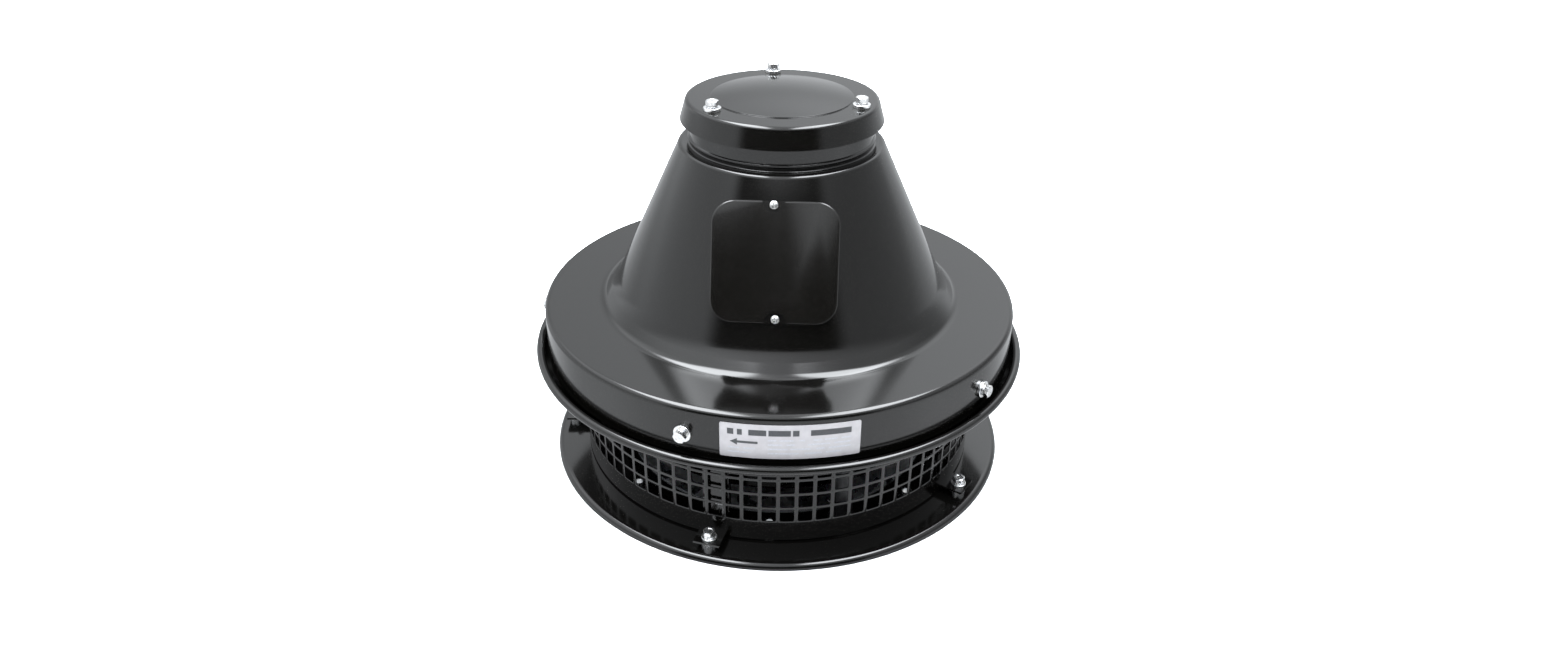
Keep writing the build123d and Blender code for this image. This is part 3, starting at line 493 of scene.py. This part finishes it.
def piece(name, shape, finish, body, *replaced, slot=None, crease=32.0):
    """A finished piece: a mesh with welded points, outward faces and crisp edges, riding on a body."""
    mesh = bpy.data.meshes.new(name)
    mesh.from_pydata(shape[0], [], shape[1])
    tidy = bmesh.new()
    tidy.from_mesh(mesh)
    bmesh.ops.remove_doubles(tidy, verts=tidy.verts, dist=0.002 * mm)
    bmesh.ops.dissolve_degenerate(tidy, edges=tidy.edges, dist=0.001 * mm)
    bmesh.ops.recalc_face_normals(tidy, faces=tidy.faces)
    tidy.to_mesh(mesh)
    tidy.free()
    mesh.shade_smooth()
    mesh.set_sharp_from_angle(angle=math.radians(crease))
    mesh.materials.append(finish if isinstance(finish, bpy.types.Material) else finishes[finish])
    made = bpy.data.objects.new(name, mesh)
    scene.collection.objects.link(made)
    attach(made, body)
    if replaced:
        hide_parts(*replaced)
    return made


def cut(target, shape, crease=32.0):
    """Cuts a closed shape out of a piece."""
    mesh = bpy.data.meshes.new("cutter")
    mesh.from_pydata(shape[0], [], shape[1])
    tidy = bmesh.new()
    tidy.from_mesh(mesh)
    bmesh.ops.recalc_face_normals(tidy, faces=tidy.faces)
    tidy.to_mesh(mesh)
    tidy.free()
    cutter = bpy.data.objects.new("cutter", mesh)
    scene.collection.objects.link(cutter)
    change = target.modifiers.new("cut", "BOOLEAN")
    change.operation = "DIFFERENCE"
    change.solver = "EXACT"
    change.object = cutter
    shown = target.evaluated_get(bpy.context.evaluated_depsgraph_get())
    result = bpy.data.meshes.new_from_object(shown)
    target.modifiers.clear()
    target.data = result
    result.shade_smooth()
    result.set_sharp_from_angle(angle=math.radians(crease))
    bpy.data.objects.remove(cutter)
    return target


def drill(radius, low, high, sides=40):
    """A closed cylinder about Z, for cutting a hole."""
    verts = [
        (radius * math.cos(2 * math.pi * k / sides), radius * math.sin(2 * math.pi * k / sides), z)
        for z in (low, high)
        for k in range(sides)
    ]
    faces = [(k, (k + 1) % sides, sides + (k + 1) % sides, sides + k) for k in range(sides)]
    return verts, faces + [tuple(range(sides))[::-1], tuple(range(sides, 2 * sides))]


def out_to(radius, height=0.0):
    """Places a shape that is modelled about Z at a radius on the X axis."""
    return Matrix.Translation((radius, 0.0, height))


def facing_out(radius, height):
    """Turns a shape that is modelled about Z so that its top looks away from the fan's axis."""
    return Matrix.Translation((radius, 0.0, height)) @ Matrix.Rotation(math.radians(90), 4, "Y")


# ---- shells --------------------------------------------------------------------------------------
def base_outline():
    """Round base with a turned-down rim."""
    rim = [(base_radius, 0.0), (base_radius, base_top, base_edge_bend)]
    return sheet(base_sheet, [*rim, (base_hole_radius, base_top)])


def cone_radius(height):
    """Outer radius of the hood's cone."""
    return cone_foot_radius - cone_slope * (height - brim_inner_height)


def hood_outline():
    """Skirt, brim, cone with a flared foot, shoulder ledge and beaded neck, in one sheet."""
    shoulder = (cone_radius(shoulder_height), shoulder_height, 4.0 * mm)
    ledge_end = (neck_radius, shoulder_height - 1.0 * mm, 1.5 * mm)
    foot = [
        (skirt_radius, skirt_bottom),
        (skirt_radius, brim_edge_height, 5.0 * mm),
        (foot_radius, foot_height, foot_fillet),
        (cone_radius(flare_height), flare_height, 40.0 * mm),
        shoulder,
        ledge_end,
    ]
    bead_height = shoulder_height + 4.5 * mm
    bead = [
        (neck_radius, bead_height - 1.9 * mm, 0.5 * mm),
        (neck_radius + 1.4 * mm, bead_height - 0.7 * mm, 0.9 * mm),
        (neck_radius + 1.4 * mm, bead_height + 0.7 * mm, 0.9 * mm),
        (neck_radius, bead_height + 1.9 * mm, 0.5 * mm),
    ]
    neck = [(neck_radius, neck_top, 3.0 * mm), (neck_hole_radius, neck_top)]
    return sheet(hood_sheet, foot + neck, near=foot + bead + neck)


def cap_outline():
    """Flared skirt, flat rim and shallow dome in one pressing."""
    rise = cap_apex - cap_top - cap_dome_step
    ball = (cap_dome_radius**2 + rise**2) / (2 * rise)
    centre = cap_apex - ball
    edge_angle = math.asin(cap_dome_radius / ball)
    steps = 26
    foot = cap_dome_radius + 0.5 * mm
    outer = [
        (cap_bottom_radius, cap_bottom, 0.4 * mm),
        (cap_top_radius, cap_top, 4.0 * mm),
        (foot, cap_top, 0.35 * mm),
        (foot - 0.3 * mm, cap_top + cap_dome_step, 0.35 * mm),
    ]
    outward = [edge_angle * k / steps for k in range(steps)]
    inward = [edge_angle * (1 - k / steps) for k in range(1, steps + 1)]
    dome = [(ball * math.sin(angle), centre + ball * math.cos(angle)) for angle in inward]
    inner_ball = ball - cap_sheet
    inner_dome = [(inner_ball * math.sin(angle), centre + inner_ball * math.cos(angle)) for angle in outward]
    flare = (cap_bottom_radius - cap_top_radius) / (cap_top - cap_bottom)
    inner = [
        (foot - 1.2 * mm, cap_top - cap_sheet + cap_dome_step, 0.8 * mm),
        (foot - 0.6 * mm, cap_top - cap_sheet, 0.8 * mm),
        (cap_top_radius - cap_sheet + flare * cap_sheet, cap_top - cap_sheet, 2.5 * mm),
        (cap_bottom_radius - cap_sheet, cap_bottom, 0.4 * mm),
    ]
    return rounded(outer + dome + inner_dome + inner)


def deck_outline():
    """Motor deck, flared wall and rolled lip."""
    bead_circle = lip_radius - lip_bead_radius
    bead_height = lip_top - lip_bead_radius
    foot = Vector((deck_wall_foot, deck_underside))
    top = Vector((bead_circle - 1.5 * mm, bead_height - 2.0 * mm))
    run = (top - foot).normalized()
    out = Vector((run.y, -run.x))
    centre = Vector((bead_circle, bead_height))
    outer = []
    for offset in (0.0, -deck_sheet):
        start = foot + out * offset
        across = (centre - start).dot(out)
        along = (centre - start).dot(run) - math.sqrt(lip_bead_radius**2 - across**2)
        outer.append(start + run * along)
    first = math.atan2(outer[0].y - centre.y, outer[0].x - centre.x)
    last = math.atan2(outer[1].y - centre.y, outer[1].x - centre.x)
    last += 2 * math.pi if last < first else 0.0
    steps = 32
    bead = [
        (
            centre.x + lip_bead_radius * math.cos(first + (last - first) * k / steps),
            centre.y + lip_bead_radius * math.sin(first + (last - first) * k / steps),
        )
        for k in range(steps + 1)
    ]
    floor = [(deck_hole_radius, deck_underside, 0.5 * mm), (deck_wall_foot, deck_underside, 8.0 * mm)]
    inside = far_side(deck_sheet, [*floor, tuple(top)])[1:]
    inside[1] = (inside[1][0], inside[1][1], 0.5 * mm)
    return rounded(floor + bead + inside)


through = (-10.0 * mm, 30.0 * mm)
holes = joined([
    around(moved(drill(standoff_neck, *through), out_to(base_bolt_circle)), post_count, leg_first_angle),
    around(moved(drill(flange_hole_radius, *through), out_to(flange_bolt_circle)), flange_bolt_count),
    around(
        moved(drill(nozzle_rivet_radius, *through, 20), out_to(nozzle_rivet_circle)),
        nozzle_rivet_count,
        nozzle_rivet_angle,
    ),
    around(moved(drill(conduit_hole_radius, *through), out_to(conduit_circle)), 1, conduit_angle),
])
cut(piece("base_pan", lathe(base_outline()), "black_paint", "housing", "base_plate"), holes)
piece("hood", lathe(hood_outline(), 320), "black_paint", "housing", "hood_shell")
piece("rain_cap_pressing", lathe(cap_outline()), "black_paint", "housing", "rain_cap")
piece("motor_deck", lathe(deck_outline()), "black_paint", "housing", "deck_plate")


# ---- perforated guard ----------------------------------------------------------------------------
def opening_outline(half_width, half_height, corner, steps=4):
    """A rounded square opening about its middle, as points across and up."""
    points = []
    for quarter, (x, z) in enumerate(((1, -1), (1, 1), (-1, 1), (-1, -1))):
        for k in range(steps + 1):
            angle = math.radians(-90 + 90 * quarter + 90 * k / steps)
            points.append((
                x * (half_width - corner) + corner * math.cos(angle),
                z * (half_height - corner) + corner * math.sin(angle),
            ))
        points.append(((0, half_height), (-half_width, 0), (0, -half_height), (half_width, 0))[quarter])
    order = sorted(points, key=lambda p: math.atan2(p[1] * half_width, p[0] * half_height))
    return order


def mesh_cell(column, row):
    """One square of the guard: bars round one opening, with rounded punched edges on both faces."""
    pitch = 2 * math.pi * mesh_radius / mesh_columns
    half_cell = (pitch / 2, mesh_row_pitch / 2)
    half_open = (mesh_opening_width / 2, mesh_opening_height / 2)
    middle = mesh_first_opening + mesh_opening_height / 2 + mesh_row_pitch * row
    opening = opening_outline(*half_open, 1.1 * mm)
    edge = 0.35 * mm
    border = []
    for x, z in opening:
        scale = min(half_cell[0] / max(abs(x), 1e-9), half_cell[1] / max(abs(z), 1e-9))
        border.append((x * scale, z * scale))
    wider = [(x * (1 + edge / half_open[0]), z * (1 + edge / half_open[1])) for x, z in opening]
    inner_radius = mesh_radius - mesh_sheet
    between = [((a[0] + b[0] * 2) / 3, (a[1] + b[1] * 2) / 3) for a, b in zip(wider, opening)]
    rings = [
        (border, mesh_radius),
        (wider, mesh_radius),
        (between, mesh_radius - 0.1 * mm),
        (opening, mesh_radius - edge),
        (opening, inner_radius + edge),
        (wider, inner_radius),
        (border, inner_radius),
    ]
    verts, faces = [], []
    for ring, radius in rings:
        for x, z in ring:
            angle = column * 2 * math.pi / mesh_columns + x / mesh_radius
            verts.append((radius * math.cos(angle), radius * math.sin(angle), middle + z))
    count = len(opening)
    for ring in range(len(rings) - 1):
        for k in range(count):
            a, b = ring * count + k, ring * count + (k + 1) % count
            faces.append((a, b, b + count, a + count))
    edges = sorted({round(x, 9) for x, z in border if abs(abs(z) - half_cell[1]) < 1e-9})
    return (verts, faces), edges


def guard_shape():
    """The whole guard: every cell, the plain band under the openings and the one over them."""
    shapes = []
    edges = []
    for column in range(mesh_columns):
        for row in range(mesh_rows):
            cell, edges = mesh_cell(column, row)
            shapes.append(cell)
    low = mesh_first_opening + mesh_opening_height / 2 - mesh_row_pitch / 2
    high = low + mesh_rows * mesh_row_pitch
    starts = [2 * math.pi * column / mesh_columns for column in range(mesh_columns)]
    angles = [start + x / mesh_radius for start in starts for x in edges[:-1]]
    for bottom, top in ((mesh_bottom, low), (high, deck_underside)):
        inner_radius = mesh_radius - mesh_sheet
        section = [(mesh_radius, bottom), (mesh_radius, top), (inner_radius, top), (inner_radius, bottom)]
        verts = [(r * math.cos(a), r * math.sin(a), z) for a in angles for r, z in section]
        faces = []
        free_edge = (3, 0) if bottom == mesh_bottom else (1, 2)
        for k in range(len(angles)):
            here, there = 4 * k, 4 * ((k + 1) % len(angles))
            for i, j in ((0, 1), (2, 3), free_edge):
                faces.append((here + i, there + i, there + j, here + j))
        shapes.append((verts, faces))
    return joined(shapes)


piece("bird_guard", guard_shape(), "black_paint", "housing", "mesh_guard", crease=40.0)

# ---- access cover --------------------------------------------------------------------------------
cover_half_width = 53.5 * mm
cover_half_height = 51.0 * mm
cover_corner = 19.0 * mm
cover_middle = 247.2 * mm
cover_face = 6.5 * mm
cover_edge = 1.5 * mm
cover_notch_radius = 9.5 * mm
cover_notch_floor = 2.6 * mm
cover_screw_offset = 47.5 * mm
top_screw_side = -2.0 * mm
low_screw_side = 1.6 * mm
gasket = 1.0 * mm
gasket_inset = 0.4 * mm
gasket_width = 9.0 * mm
screw_turn = math.radians(20)
slot_half_width = 0.5 * mm
slot_half_length = 2.2 * mm
slot_floor = 1.9 * mm
cone_lean = math.atan(cone_slope)
cover_place = Matrix.Translation((0.0, -cone_radius(cover_middle), cover_middle))
cover_place = cover_place @ Matrix.Rotation(math.radians(90) - cone_lean, 4, "X")


def over_cone(x, y, lift):
    """Height, in the cover's own frame, of the cone's surface moved out by a lift."""
    low, high = -40.0 * mm, 10.0 * mm
    for _ in range(30):
        middle = (low + high) / 2
        place = cover_place @ Vector((x, y, middle))
        inside = math.hypot(place.x, place.y) < cone_radius(place.z) + lift / math.cos(cone_lean)
        low, high = (middle, high) if inside else (low, middle)
    return low


def cover_ring(inset, height=None, lift=0.0):
    """The cover's outline, drawn in by an inset, at a height or laid on the cone."""
    corner = max(cover_corner - inset, 1.0 * mm)
    outline = opening_outline(cover_half_width - inset, cover_half_height - inset, corner, 12)
    return [(x, y, over_cone(x, y, lift) if height is None else height) for x, y in outline]


def loft(rings, closed=False):
    """Skin through rings of points. Its ends are capped, unless closed joins them."""
    count = len(rings[0])
    verts = [point for ring in rings for point in ring]
    faces = []
    for ring in range(len(rings) - (0 if closed else 1)):
        near, far = ring * count, (ring + 1) % len(rings) * count
        for k in range(count):
            along = (k + 1) % count
            faces.append((near + k, near + along, far + along, far + k))
    if not closed:
        faces += [tuple(range(count)), tuple(range(len(verts) - count, len(verts)))]
    return verts, faces


def box(low, high):
    """A closed box between two corners."""
    ring = [(low[0], low[1]), (high[0], low[1]), (high[0], high[1]), (low[0], high[1])]
    return loft([[(x, y, z) for x, y in ring] for z in (low[2], high[2])])


def lid_shape():
    """Solid lid: an underside that follows the cone, straight walls, a rounded edge and a flat face."""
    rings = [cover_ring(inset * mm, lift=gasket) for inset in (44, 30, 18, 8, 0)]
    for step in range(7):
        angle = math.radians(15 * step)
        inset = cover_edge * (1 - math.cos(angle))
        rings.append(cover_ring(inset, height=cover_face - cover_edge * (1 - math.sin(angle))))
    return loft(rings)


def pan_head_screw():
    """Pan-head screw with its seat at z = 0."""
    section = [
        (0.0, -6.0 * mm),
        (1.9 * mm, -6.0 * mm),
        (1.9 * mm, 0.0),
        (3.8 * mm, 0.0, 0.15 * mm),
        (3.8 * mm, 2.5 * mm, 1.5 * mm),
        (0.0, 3.2 * mm),
    ]
    return lathe(rounded(section, step=math.radians(12)), 64)


lid = piece("lid", moved(lid_shape(), cover_place), "cover_plastic", "housing", "access_cover")
for direction, screw_side in ((1, top_screw_side), (-1, low_screw_side)):
    notch = cover_place @ Matrix.Translation((screw_side, direction * cover_half_height, 0.0))
    cut(lid, moved(drill(cover_notch_radius, cover_notch_floor, 20.0 * mm, 72), notch))
    seat = cover_place @ Matrix.Translation((screw_side, direction * cover_screw_offset, cover_notch_floor))
    replaced = ["cover_screws"] if direction == 1 else []
    screw_shape = moved(pan_head_screw(), seat)
    screw = piece(f"lid_screw_{direction}", screw_shape, "zinc_steel", "housing", *replaced)
    for half_x, half_y in ((slot_half_width, slot_half_length), (slot_half_length, slot_half_width)):
        recess = box((-half_x, -half_y, slot_floor), (half_x, half_y, 6.0 * mm))
        cut(screw, moved(recess, seat @ Matrix.Rotation(screw_turn, 4, "Z")))
gasket_rings = [
    cover_ring(gasket_inset),
    cover_ring(gasket_inset, lift=gasket),
    cover_ring(gasket_width, lift=gasket),
    cover_ring(gasket_width),
]
gasket_shape = moved(loft(gasket_rings, closed=True), cover_place)
piece("lid_gasket", gasket_shape, "gasket_rubber", "housing", "cover_gasket")


# ---- fasteners -----------------------------------------------------------------------------------
def hex_bolt(length, flats=bolt_flats, height=bolt_head, shank=bolt_shank):
    """Hexagon bolt: a chamfered, dished head on a washer face at z = 0, and a rolled thread below."""
    sides = 96
    corner = flats / math.sqrt(3)
    crown = 0.93 * flats / 2
    face = 0.97 * flats / 2
    lift = 0.3 * mm
    hexagon = []
    for k in range(sides):
        angle = 2 * math.pi * k / sides
        off_flat = (angle + math.pi / 6) % (math.pi / 3) - math.pi / 6
        hexagon.append(min(flats / 2 / math.cos(off_flat), 0.985 * corner))
    drop = math.tan(math.radians(28))
    rings = [
        [(shank, 0.0)] * sides,
        [(face, 0.0)] * sides,
        [(face, lift)] * sides,
        [(r, lift) for r in hexagon],
        [(r, height - max(0.0, r - crown) * drop) for r in hexagon],
        [(crown, height)] * sides,
        [(0.62 * crown, height)] * sides,
        [(0.55 * crown, height - 0.25 * mm)] * sides,
        [(0.2 * crown, height - 0.35 * mm)] * sides,
    ]
    verts, faces = [], []
    for ring in rings:
        for k, (r, z) in enumerate(ring):
            angle = 2 * math.pi * k / sides
            verts.append((r * math.cos(angle), r * math.sin(angle), z))
    for ring in range(len(rings) - 1):
        for k in range(sides):
            a, b = ring * sides + k, ring * sides + (k + 1) % sides
            faces.append((a, b, b + sides, a + sides))
    faces.append(tuple(range((len(rings) - 1) * sides, len(rings) * sides)))
    return joined([(verts, faces), thread(length, shank)])


def thread(length, radius):
    """A rolled helical thread that hangs below z = 0."""
    sides = 24
    per_pitch = 6
    rows = max(2, math.ceil(length / thread_pitch * per_pitch))
    depth = 0.3 * mm
    verts, faces = [], []
    for row in range(rows + 1):
        z = -length * row / rows
        fade = min(1.0, (row / per_pitch) / 1.5, ((rows - row) / per_pitch) / 1.0)
        for k in range(sides):
            turn = k / sides
            phase = (z / thread_pitch + turn) % 1.0
            r = radius - depth * fade * abs(2 * phase - 1)
            verts.append((r * math.cos(2 * math.pi * turn), r * math.sin(2 * math.pi * turn), z))
    for row in range(rows):
        for k in range(sides):
            a, b = row * sides + k, row * sides + (k + 1) % sides
            faces.append((a, b, b + sides, a + sides))
    faces.append(tuple(range(rows * sides, (rows + 1) * sides)))
    faces.append(tuple(range(sides)))
    return verts, faces


def washer(radius, thickness):
    """Plain pressed washer with rounded edges, standing on z = 0."""
    section = [
        (washer_hole, 0.0, 0.15 * mm),
        (radius, 0.0, 0.25 * mm),
        (radius, thickness, 0.5 * mm),
        (washer_hole, thickness, 0.2 * mm),
    ]
    return lathe(rounded(section, step=math.radians(20)), 72)


def split_washer(bottom):
    """Spring washer of square wire, wound by one turn, so that its ends leave a step at the split."""
    steps = 60
    opening = math.radians(9)
    lift = 0.35 * mm
    section = [
        (washer_hole, 0.0, 0.2 * mm),
        (lock_washer_radius, 0.0, 0.2 * mm),
        (lock_washer_radius, lock_washer - lift, 0.2 * mm),
        (washer_hole, lock_washer - lift, 0.2 * mm),
    ]
    ring = rounded(section, step=math.radians(30))
    count = len(ring)
    verts, faces = [], []
    for k in range(steps + 1):
        angle = opening / 2 + (2 * math.pi - opening) * k / steps
        rise = bottom + lift * k / steps
        verts += [(r * math.cos(angle), r * math.sin(angle), z + rise) for r, z in ring]
    for k in range(steps):
        for i in range(count):
            j = (i + 1) % count
            faces.append((k * count + i, (k + 1) * count + i, (k + 1) * count + j, k * count + j))
    faces += [tuple(range(count)), tuple(range(steps * count, (steps + 1) * count))]
    return verts, faces


def bolt_on(washer_height, length):
    """A hexagon bolt with its spring washer, on top of a washer that stands on z = 0."""
    seat = washer_height + lock_washer
    bolt = moved(hex_bolt(length + seat), Matrix.Translation((0, 0, seat)))
    return joined([bolt, split_washer(washer_height)])


base_bolt = bolt_on(plain_washer, base_seat - 1.0 * mm)
cap_bolt = bolt_on(sealing_washer, 10.4 * mm)
hood_bolt = bolt_on(sealing_washer, 7.5 * mm)
base_place = (out_to(base_bolt_circle, base_seat), post_count, leg_first_angle)
cap_place = (out_to(cap_bolt_circle, cap_seat), cap_bolt_count, cap_first_angle)
hood_place = (facing_out(skirt_radius, hood_bolt_height), post_count, hood_first_angle)
fasteners = (
    ("base_hex_bolts", base_bolt, base_place, "base_bolts"),
    ("base_plain_washers", washer(base_washer_radius, plain_washer), base_place, "base_washers"),
    ("hood_hex_bolts", hood_bolt, hood_place, "hood_bolts"),
    ("hood_sealing_washers", washer(washer_radius, sealing_washer), hood_place, "hood_washers"),
    ("cap_hex_bolts", cap_bolt, cap_place, "cap_bolts"),
    ("cap_sealing_washers", washer(washer_radius, sealing_washer), cap_place, "cap_washers"),
)
for name, shape, (matrix, count, first_angle), node in fasteners:
    piece(name, around(moved(shape, matrix), count, first_angle), "zinc_steel", "housing", node, crease=25.0)


# ---- rating plate --------------------------------------------------------------------------------
def patch(columns, radius, depth):
    """A thin patch on the skirt. Each column is (angle in degrees, low height, high height)."""
    verts, faces = [], []
    for degrees, low, high in columns:
        angle = math.radians(degrees)
        for r in (radius, radius + depth):
            for z in (low, high):
                verts.append((r * math.cos(angle), r * math.sin(angle), z))
    for k in range(len(columns) - 1):
        a = 4 * k
        for i, j in ((0, 1), (1, 3), (3, 2), (2, 0)):
            faces.append((a + i, a + j, a + 4 + j, a + 4 + i))
    last = 4 * (len(columns) - 1)
    return verts, faces + [(0, 1, 3, 2), (last, last + 1, last + 3, last + 2)]


def bar(start, end, low, high):
    """A printed bar, placed by the share of the plate's width and height."""
    steps = max(2, math.ceil((end - start) * plate_arc / 1.2))
    tall = plate_top - plate_bottom
    return [
        (
            plate_first_angle + plate_arc * (start + (end - start) * k / steps),
            plate_bottom + tall * low,
            plate_bottom + tall * high,
        )
        for k in range(steps + 1)
    ]


def plate_columns(corner=1.6 * mm):
    """The plate's own outline, with rounded corners."""
    columns = []
    corner_arc = math.degrees(corner / skirt_radius)
    for k in range(7):
        cut_back = corner * (1 - math.sin(math.pi / 2 * k / 6))
        along = corner_arc * (1 - math.cos(math.pi / 2 * k / 6))
        columns.append((plate_first_angle + along, plate_bottom + cut_back, plate_top - cut_back))
    for k in range(1, 24):
        share = k / 24
        inside = plate_arc - 2 * corner_arc
        columns.append((plate_first_angle + corner_arc + inside * share, plate_bottom, plate_top))
    for degrees, low, high in columns[6::-1]:
        columns.append((2 * plate_first_angle + plate_arc - degrees, low, high))
    return columns


print_depth = 0.03 * mm
plate_sheet = plate_radius - skirt_radius
foil = patch(plate_columns(), skirt_radius, plate_sheet)
piece("rating_foil", foil, "label_foil", "housing", "rating_plate")
bold_low, bold_high = 0.68, 0.85
bold_row = ((0.055, 0.1), (0.125, 0.16), (0.205, 0.33), (0.345, 0.5), (0.515, 0.56), (0.64, 0.93))
bold_print = [patch(bar(a, b, bold_low, bold_high), plate_radius, print_depth) for a, b in bold_row]
tall = plate_top - plate_bottom
arrow_middle = 0.47
arrow_head = ((0.075, 0.004), (0.1, 0.05), (0.125, 0.1))
arrow_shaft = tuple((share, 0.035) for share in (0.1251, 0.17, 0.22, 0.27))
arrow = [
    (
        plate_first_angle + plate_arc * share,
        plate_bottom + tall * (arrow_middle - half),
        plate_bottom + tall * (arrow_middle + half),
    )
    for share, half in arrow_head + arrow_shaft
]
bold_shape = joined([*bold_print, patch(arrow, plate_radius, print_depth)])
piece("rating_print_bold", bold_shape, dark_ink, "housing", slot="label_foil")
fine_height = 0.045
fine_rows = (
    (0.53, ((0.34, 0.4), (0.42, 0.52), (0.56, 0.6), (0.66, 0.72), (0.74, 0.83), (0.86, 0.93))),
    (0.4, ((0.34, 0.44), (0.47, 0.53), (0.62, 0.78), (0.81, 0.93))),
    (0.27, ((0.06, 0.14), (0.17, 0.25), (0.34, 0.48), (0.5, 0.64), (0.68, 0.74), (0.77, 0.93))),
    (0.14, ((0.06, 0.22), (0.34, 0.56), (0.6, 0.72), (0.75, 0.86))),
)
fine_print = [
    patch(bar(a, b, height, height + fine_height), plate_radius, print_depth)
    for height, bars in fine_rows
    for a, b in bars
]
piece("rating_print_fine", joined(fine_print), grey_ink, "housing", slot="label_foil")

# ---- studio --------------------------------------------------------------------------------------
floor_size = 14.0
floor_mesh = bpy.data.meshes.new("studio_floor")
half = floor_size / 2
floor_corners = [(-half, -half, 0), (half, -half, 0), (half, half, 0), (-half, half, 0)]
floor_mesh.from_pydata(floor_corners, [], [(0, 1, 2, 3)])
floor = bpy.data.objects.new("studio_floor", floor_mesh)
scene.collection.objects.link(floor)
floor.location.z = -0.1 * mm
paper = Finish("studio_paper", (0.93, 0.94, 0.95), 0.9)
paper.colours(paper.noise(40.0, 4.0), (0.2, (0.92, 0.93, 0.94)), (0.8, (0.94, 0.95, 0.96)))
paper.shader.inputs["Specular IOR Level"].default_value = 0.1
floor.data.materials.append(paper.material)
floor.visible_glossy = False


strip_light = 16.0


def studio_world():
    """White room: two bright strips overhead, dimmer walls, and a dark side in front."""
    world = bpy.data.worlds.new("studio")
    scene.world = world
    world.use_nodes = True
    nodes, links = world.node_tree.nodes, world.node_tree.links
    background = nodes["Background"]

    def math_node(operation, first, second):
        node = nodes.new("ShaderNodeMath")
        node.operation = operation
        for socket, value in zip(node.inputs, (first, second)):
            if isinstance(value, (int, float)):
                socket.default_value = value
            else:
                links.new(value, socket)
        return node.outputs["Value"]

    def eased(value, low, high, to_low, to_high):
        node = nodes.new("ShaderNodeMapRange")
        node.interpolation_type = "SMOOTHSTEP"
        node.inputs["From Min"].default_value = low
        node.inputs["From Max"].default_value = high
        node.inputs["To Min"].default_value = to_low
        node.inputs["To Max"].default_value = to_high
        links.new(value, node.inputs["Value"])
        return node.outputs["Result"]

    def mixed(share, first, second):
        difference = math_node("SUBTRACT", second, first)
        return math_node("ADD", first, math_node("MULTIPLY", share, difference))

    split = nodes.new("ShaderNodeSeparateXYZ")
    links.new(nodes.new("ShaderNodeTexCoord").outputs["Generated"], split.inputs["Vector"])
    x, y, z = split.outputs["X"], split.outputs["Y"], split.outputs["Z"]
    squares = math_node("ADD", math_node("MULTIPLY", x, x), math_node("MULTIPLY", y, y))
    across = math_node("MAXIMUM", math_node("SQRT", squares, 0.0), 0.001)
    front = math_node("DIVIDE", math_node("MULTIPLY", y, -1.0), across)
    right = math_node("DIVIDE", x, across)

    below = eased(front, -0.5, 0.3, 0.85, 1.5)
    above = math_node("ADD", eased(z, 0.3, 0.66, 0.95, 1.9), eased(z, 0.66, 0.95, 0.0, 0.25))
    back_tilt = eased(right, -0.4, 0.4, 0.8, 1.25)
    side_tilt = eased(right, -0.95, 0.95, 1.35, 0.65)
    at_back = eased(front, -0.85, -0.55, 1.0, 0.0)
    tilt = mixed(at_back, side_tilt, back_tilt)
    upper = math_node("MULTIPLY", above, tilt)
    light = mixed(eased(z, -0.08, 0.04, 0.0, 1.0), below, upper)
    dark_width = eased(front, 0.62, 0.8, 0.0, 1.0)
    dark_top = eased(z, 0.455, 0.49, 1.0, 0.0)
    dark_foot = eased(z, -0.3, -0.1, 0.0, 1.0)
    dark = math_node("MULTIPLY", math_node("MULTIPLY", dark_width, dark_top), dark_foot)
    keep = math_node("SUBTRACT", 1.0, math_node("MULTIPLY", dark, 0.92))
    off_middle = math_node("ABSOLUTE", x, 0.0)
    strip_inside = eased(off_middle, 0.12, 0.2, 0.0, 1.0)
    strip_outside = eased(off_middle, 0.48, 0.6, 1.0, 0.0)
    strips = math_node("MULTIPLY", strip_inside, strip_outside)
    overhead = math_node("MULTIPLY", strips, eased(z, 0.76, 0.86, 0.0, strip_light))
    light = math_node("ADD", math_node("MULTIPLY", light, keep), overhead)
    links.new(light, background.inputs["Strength"])
    background.inputs["Color"].default_value = (0.96, 0.99, 1.02, 1.0)


studio_world()

# ---- camera --------------------------------------------------------------------------------------
camera_distance = 0.9238
camera_height = 0.6356
camera_azimuth = 2.0
camera_pitch = 29.42
camera_yaw = -0.18
camera_roll = 0.91
camera = bpy.data.objects.new("camera", bpy.data.cameras.new("camera"))
scene.collection.objects.link(camera)
camera.data.sensor_width = 36.0
camera.data.lens = 24.477
around_fan = math.radians(camera_azimuth)
turn = Matrix.Rotation(math.radians(camera_azimuth + camera_yaw), 4, "Z")
tilt = Matrix.Rotation(math.radians(90.0 - camera_pitch), 4, "X")
roll = Matrix.Rotation(math.radians(camera_roll), 4, "Z")
place = Matrix.Translation((
    camera_distance * math.sin(around_fan),
    -camera_distance * math.cos(around_fan),
    camera_height,
))
camera.matrix_world = place @ turn @ tilt @ roll
scene.camera = camera
scene.view_settings.view_transform = "Standard"
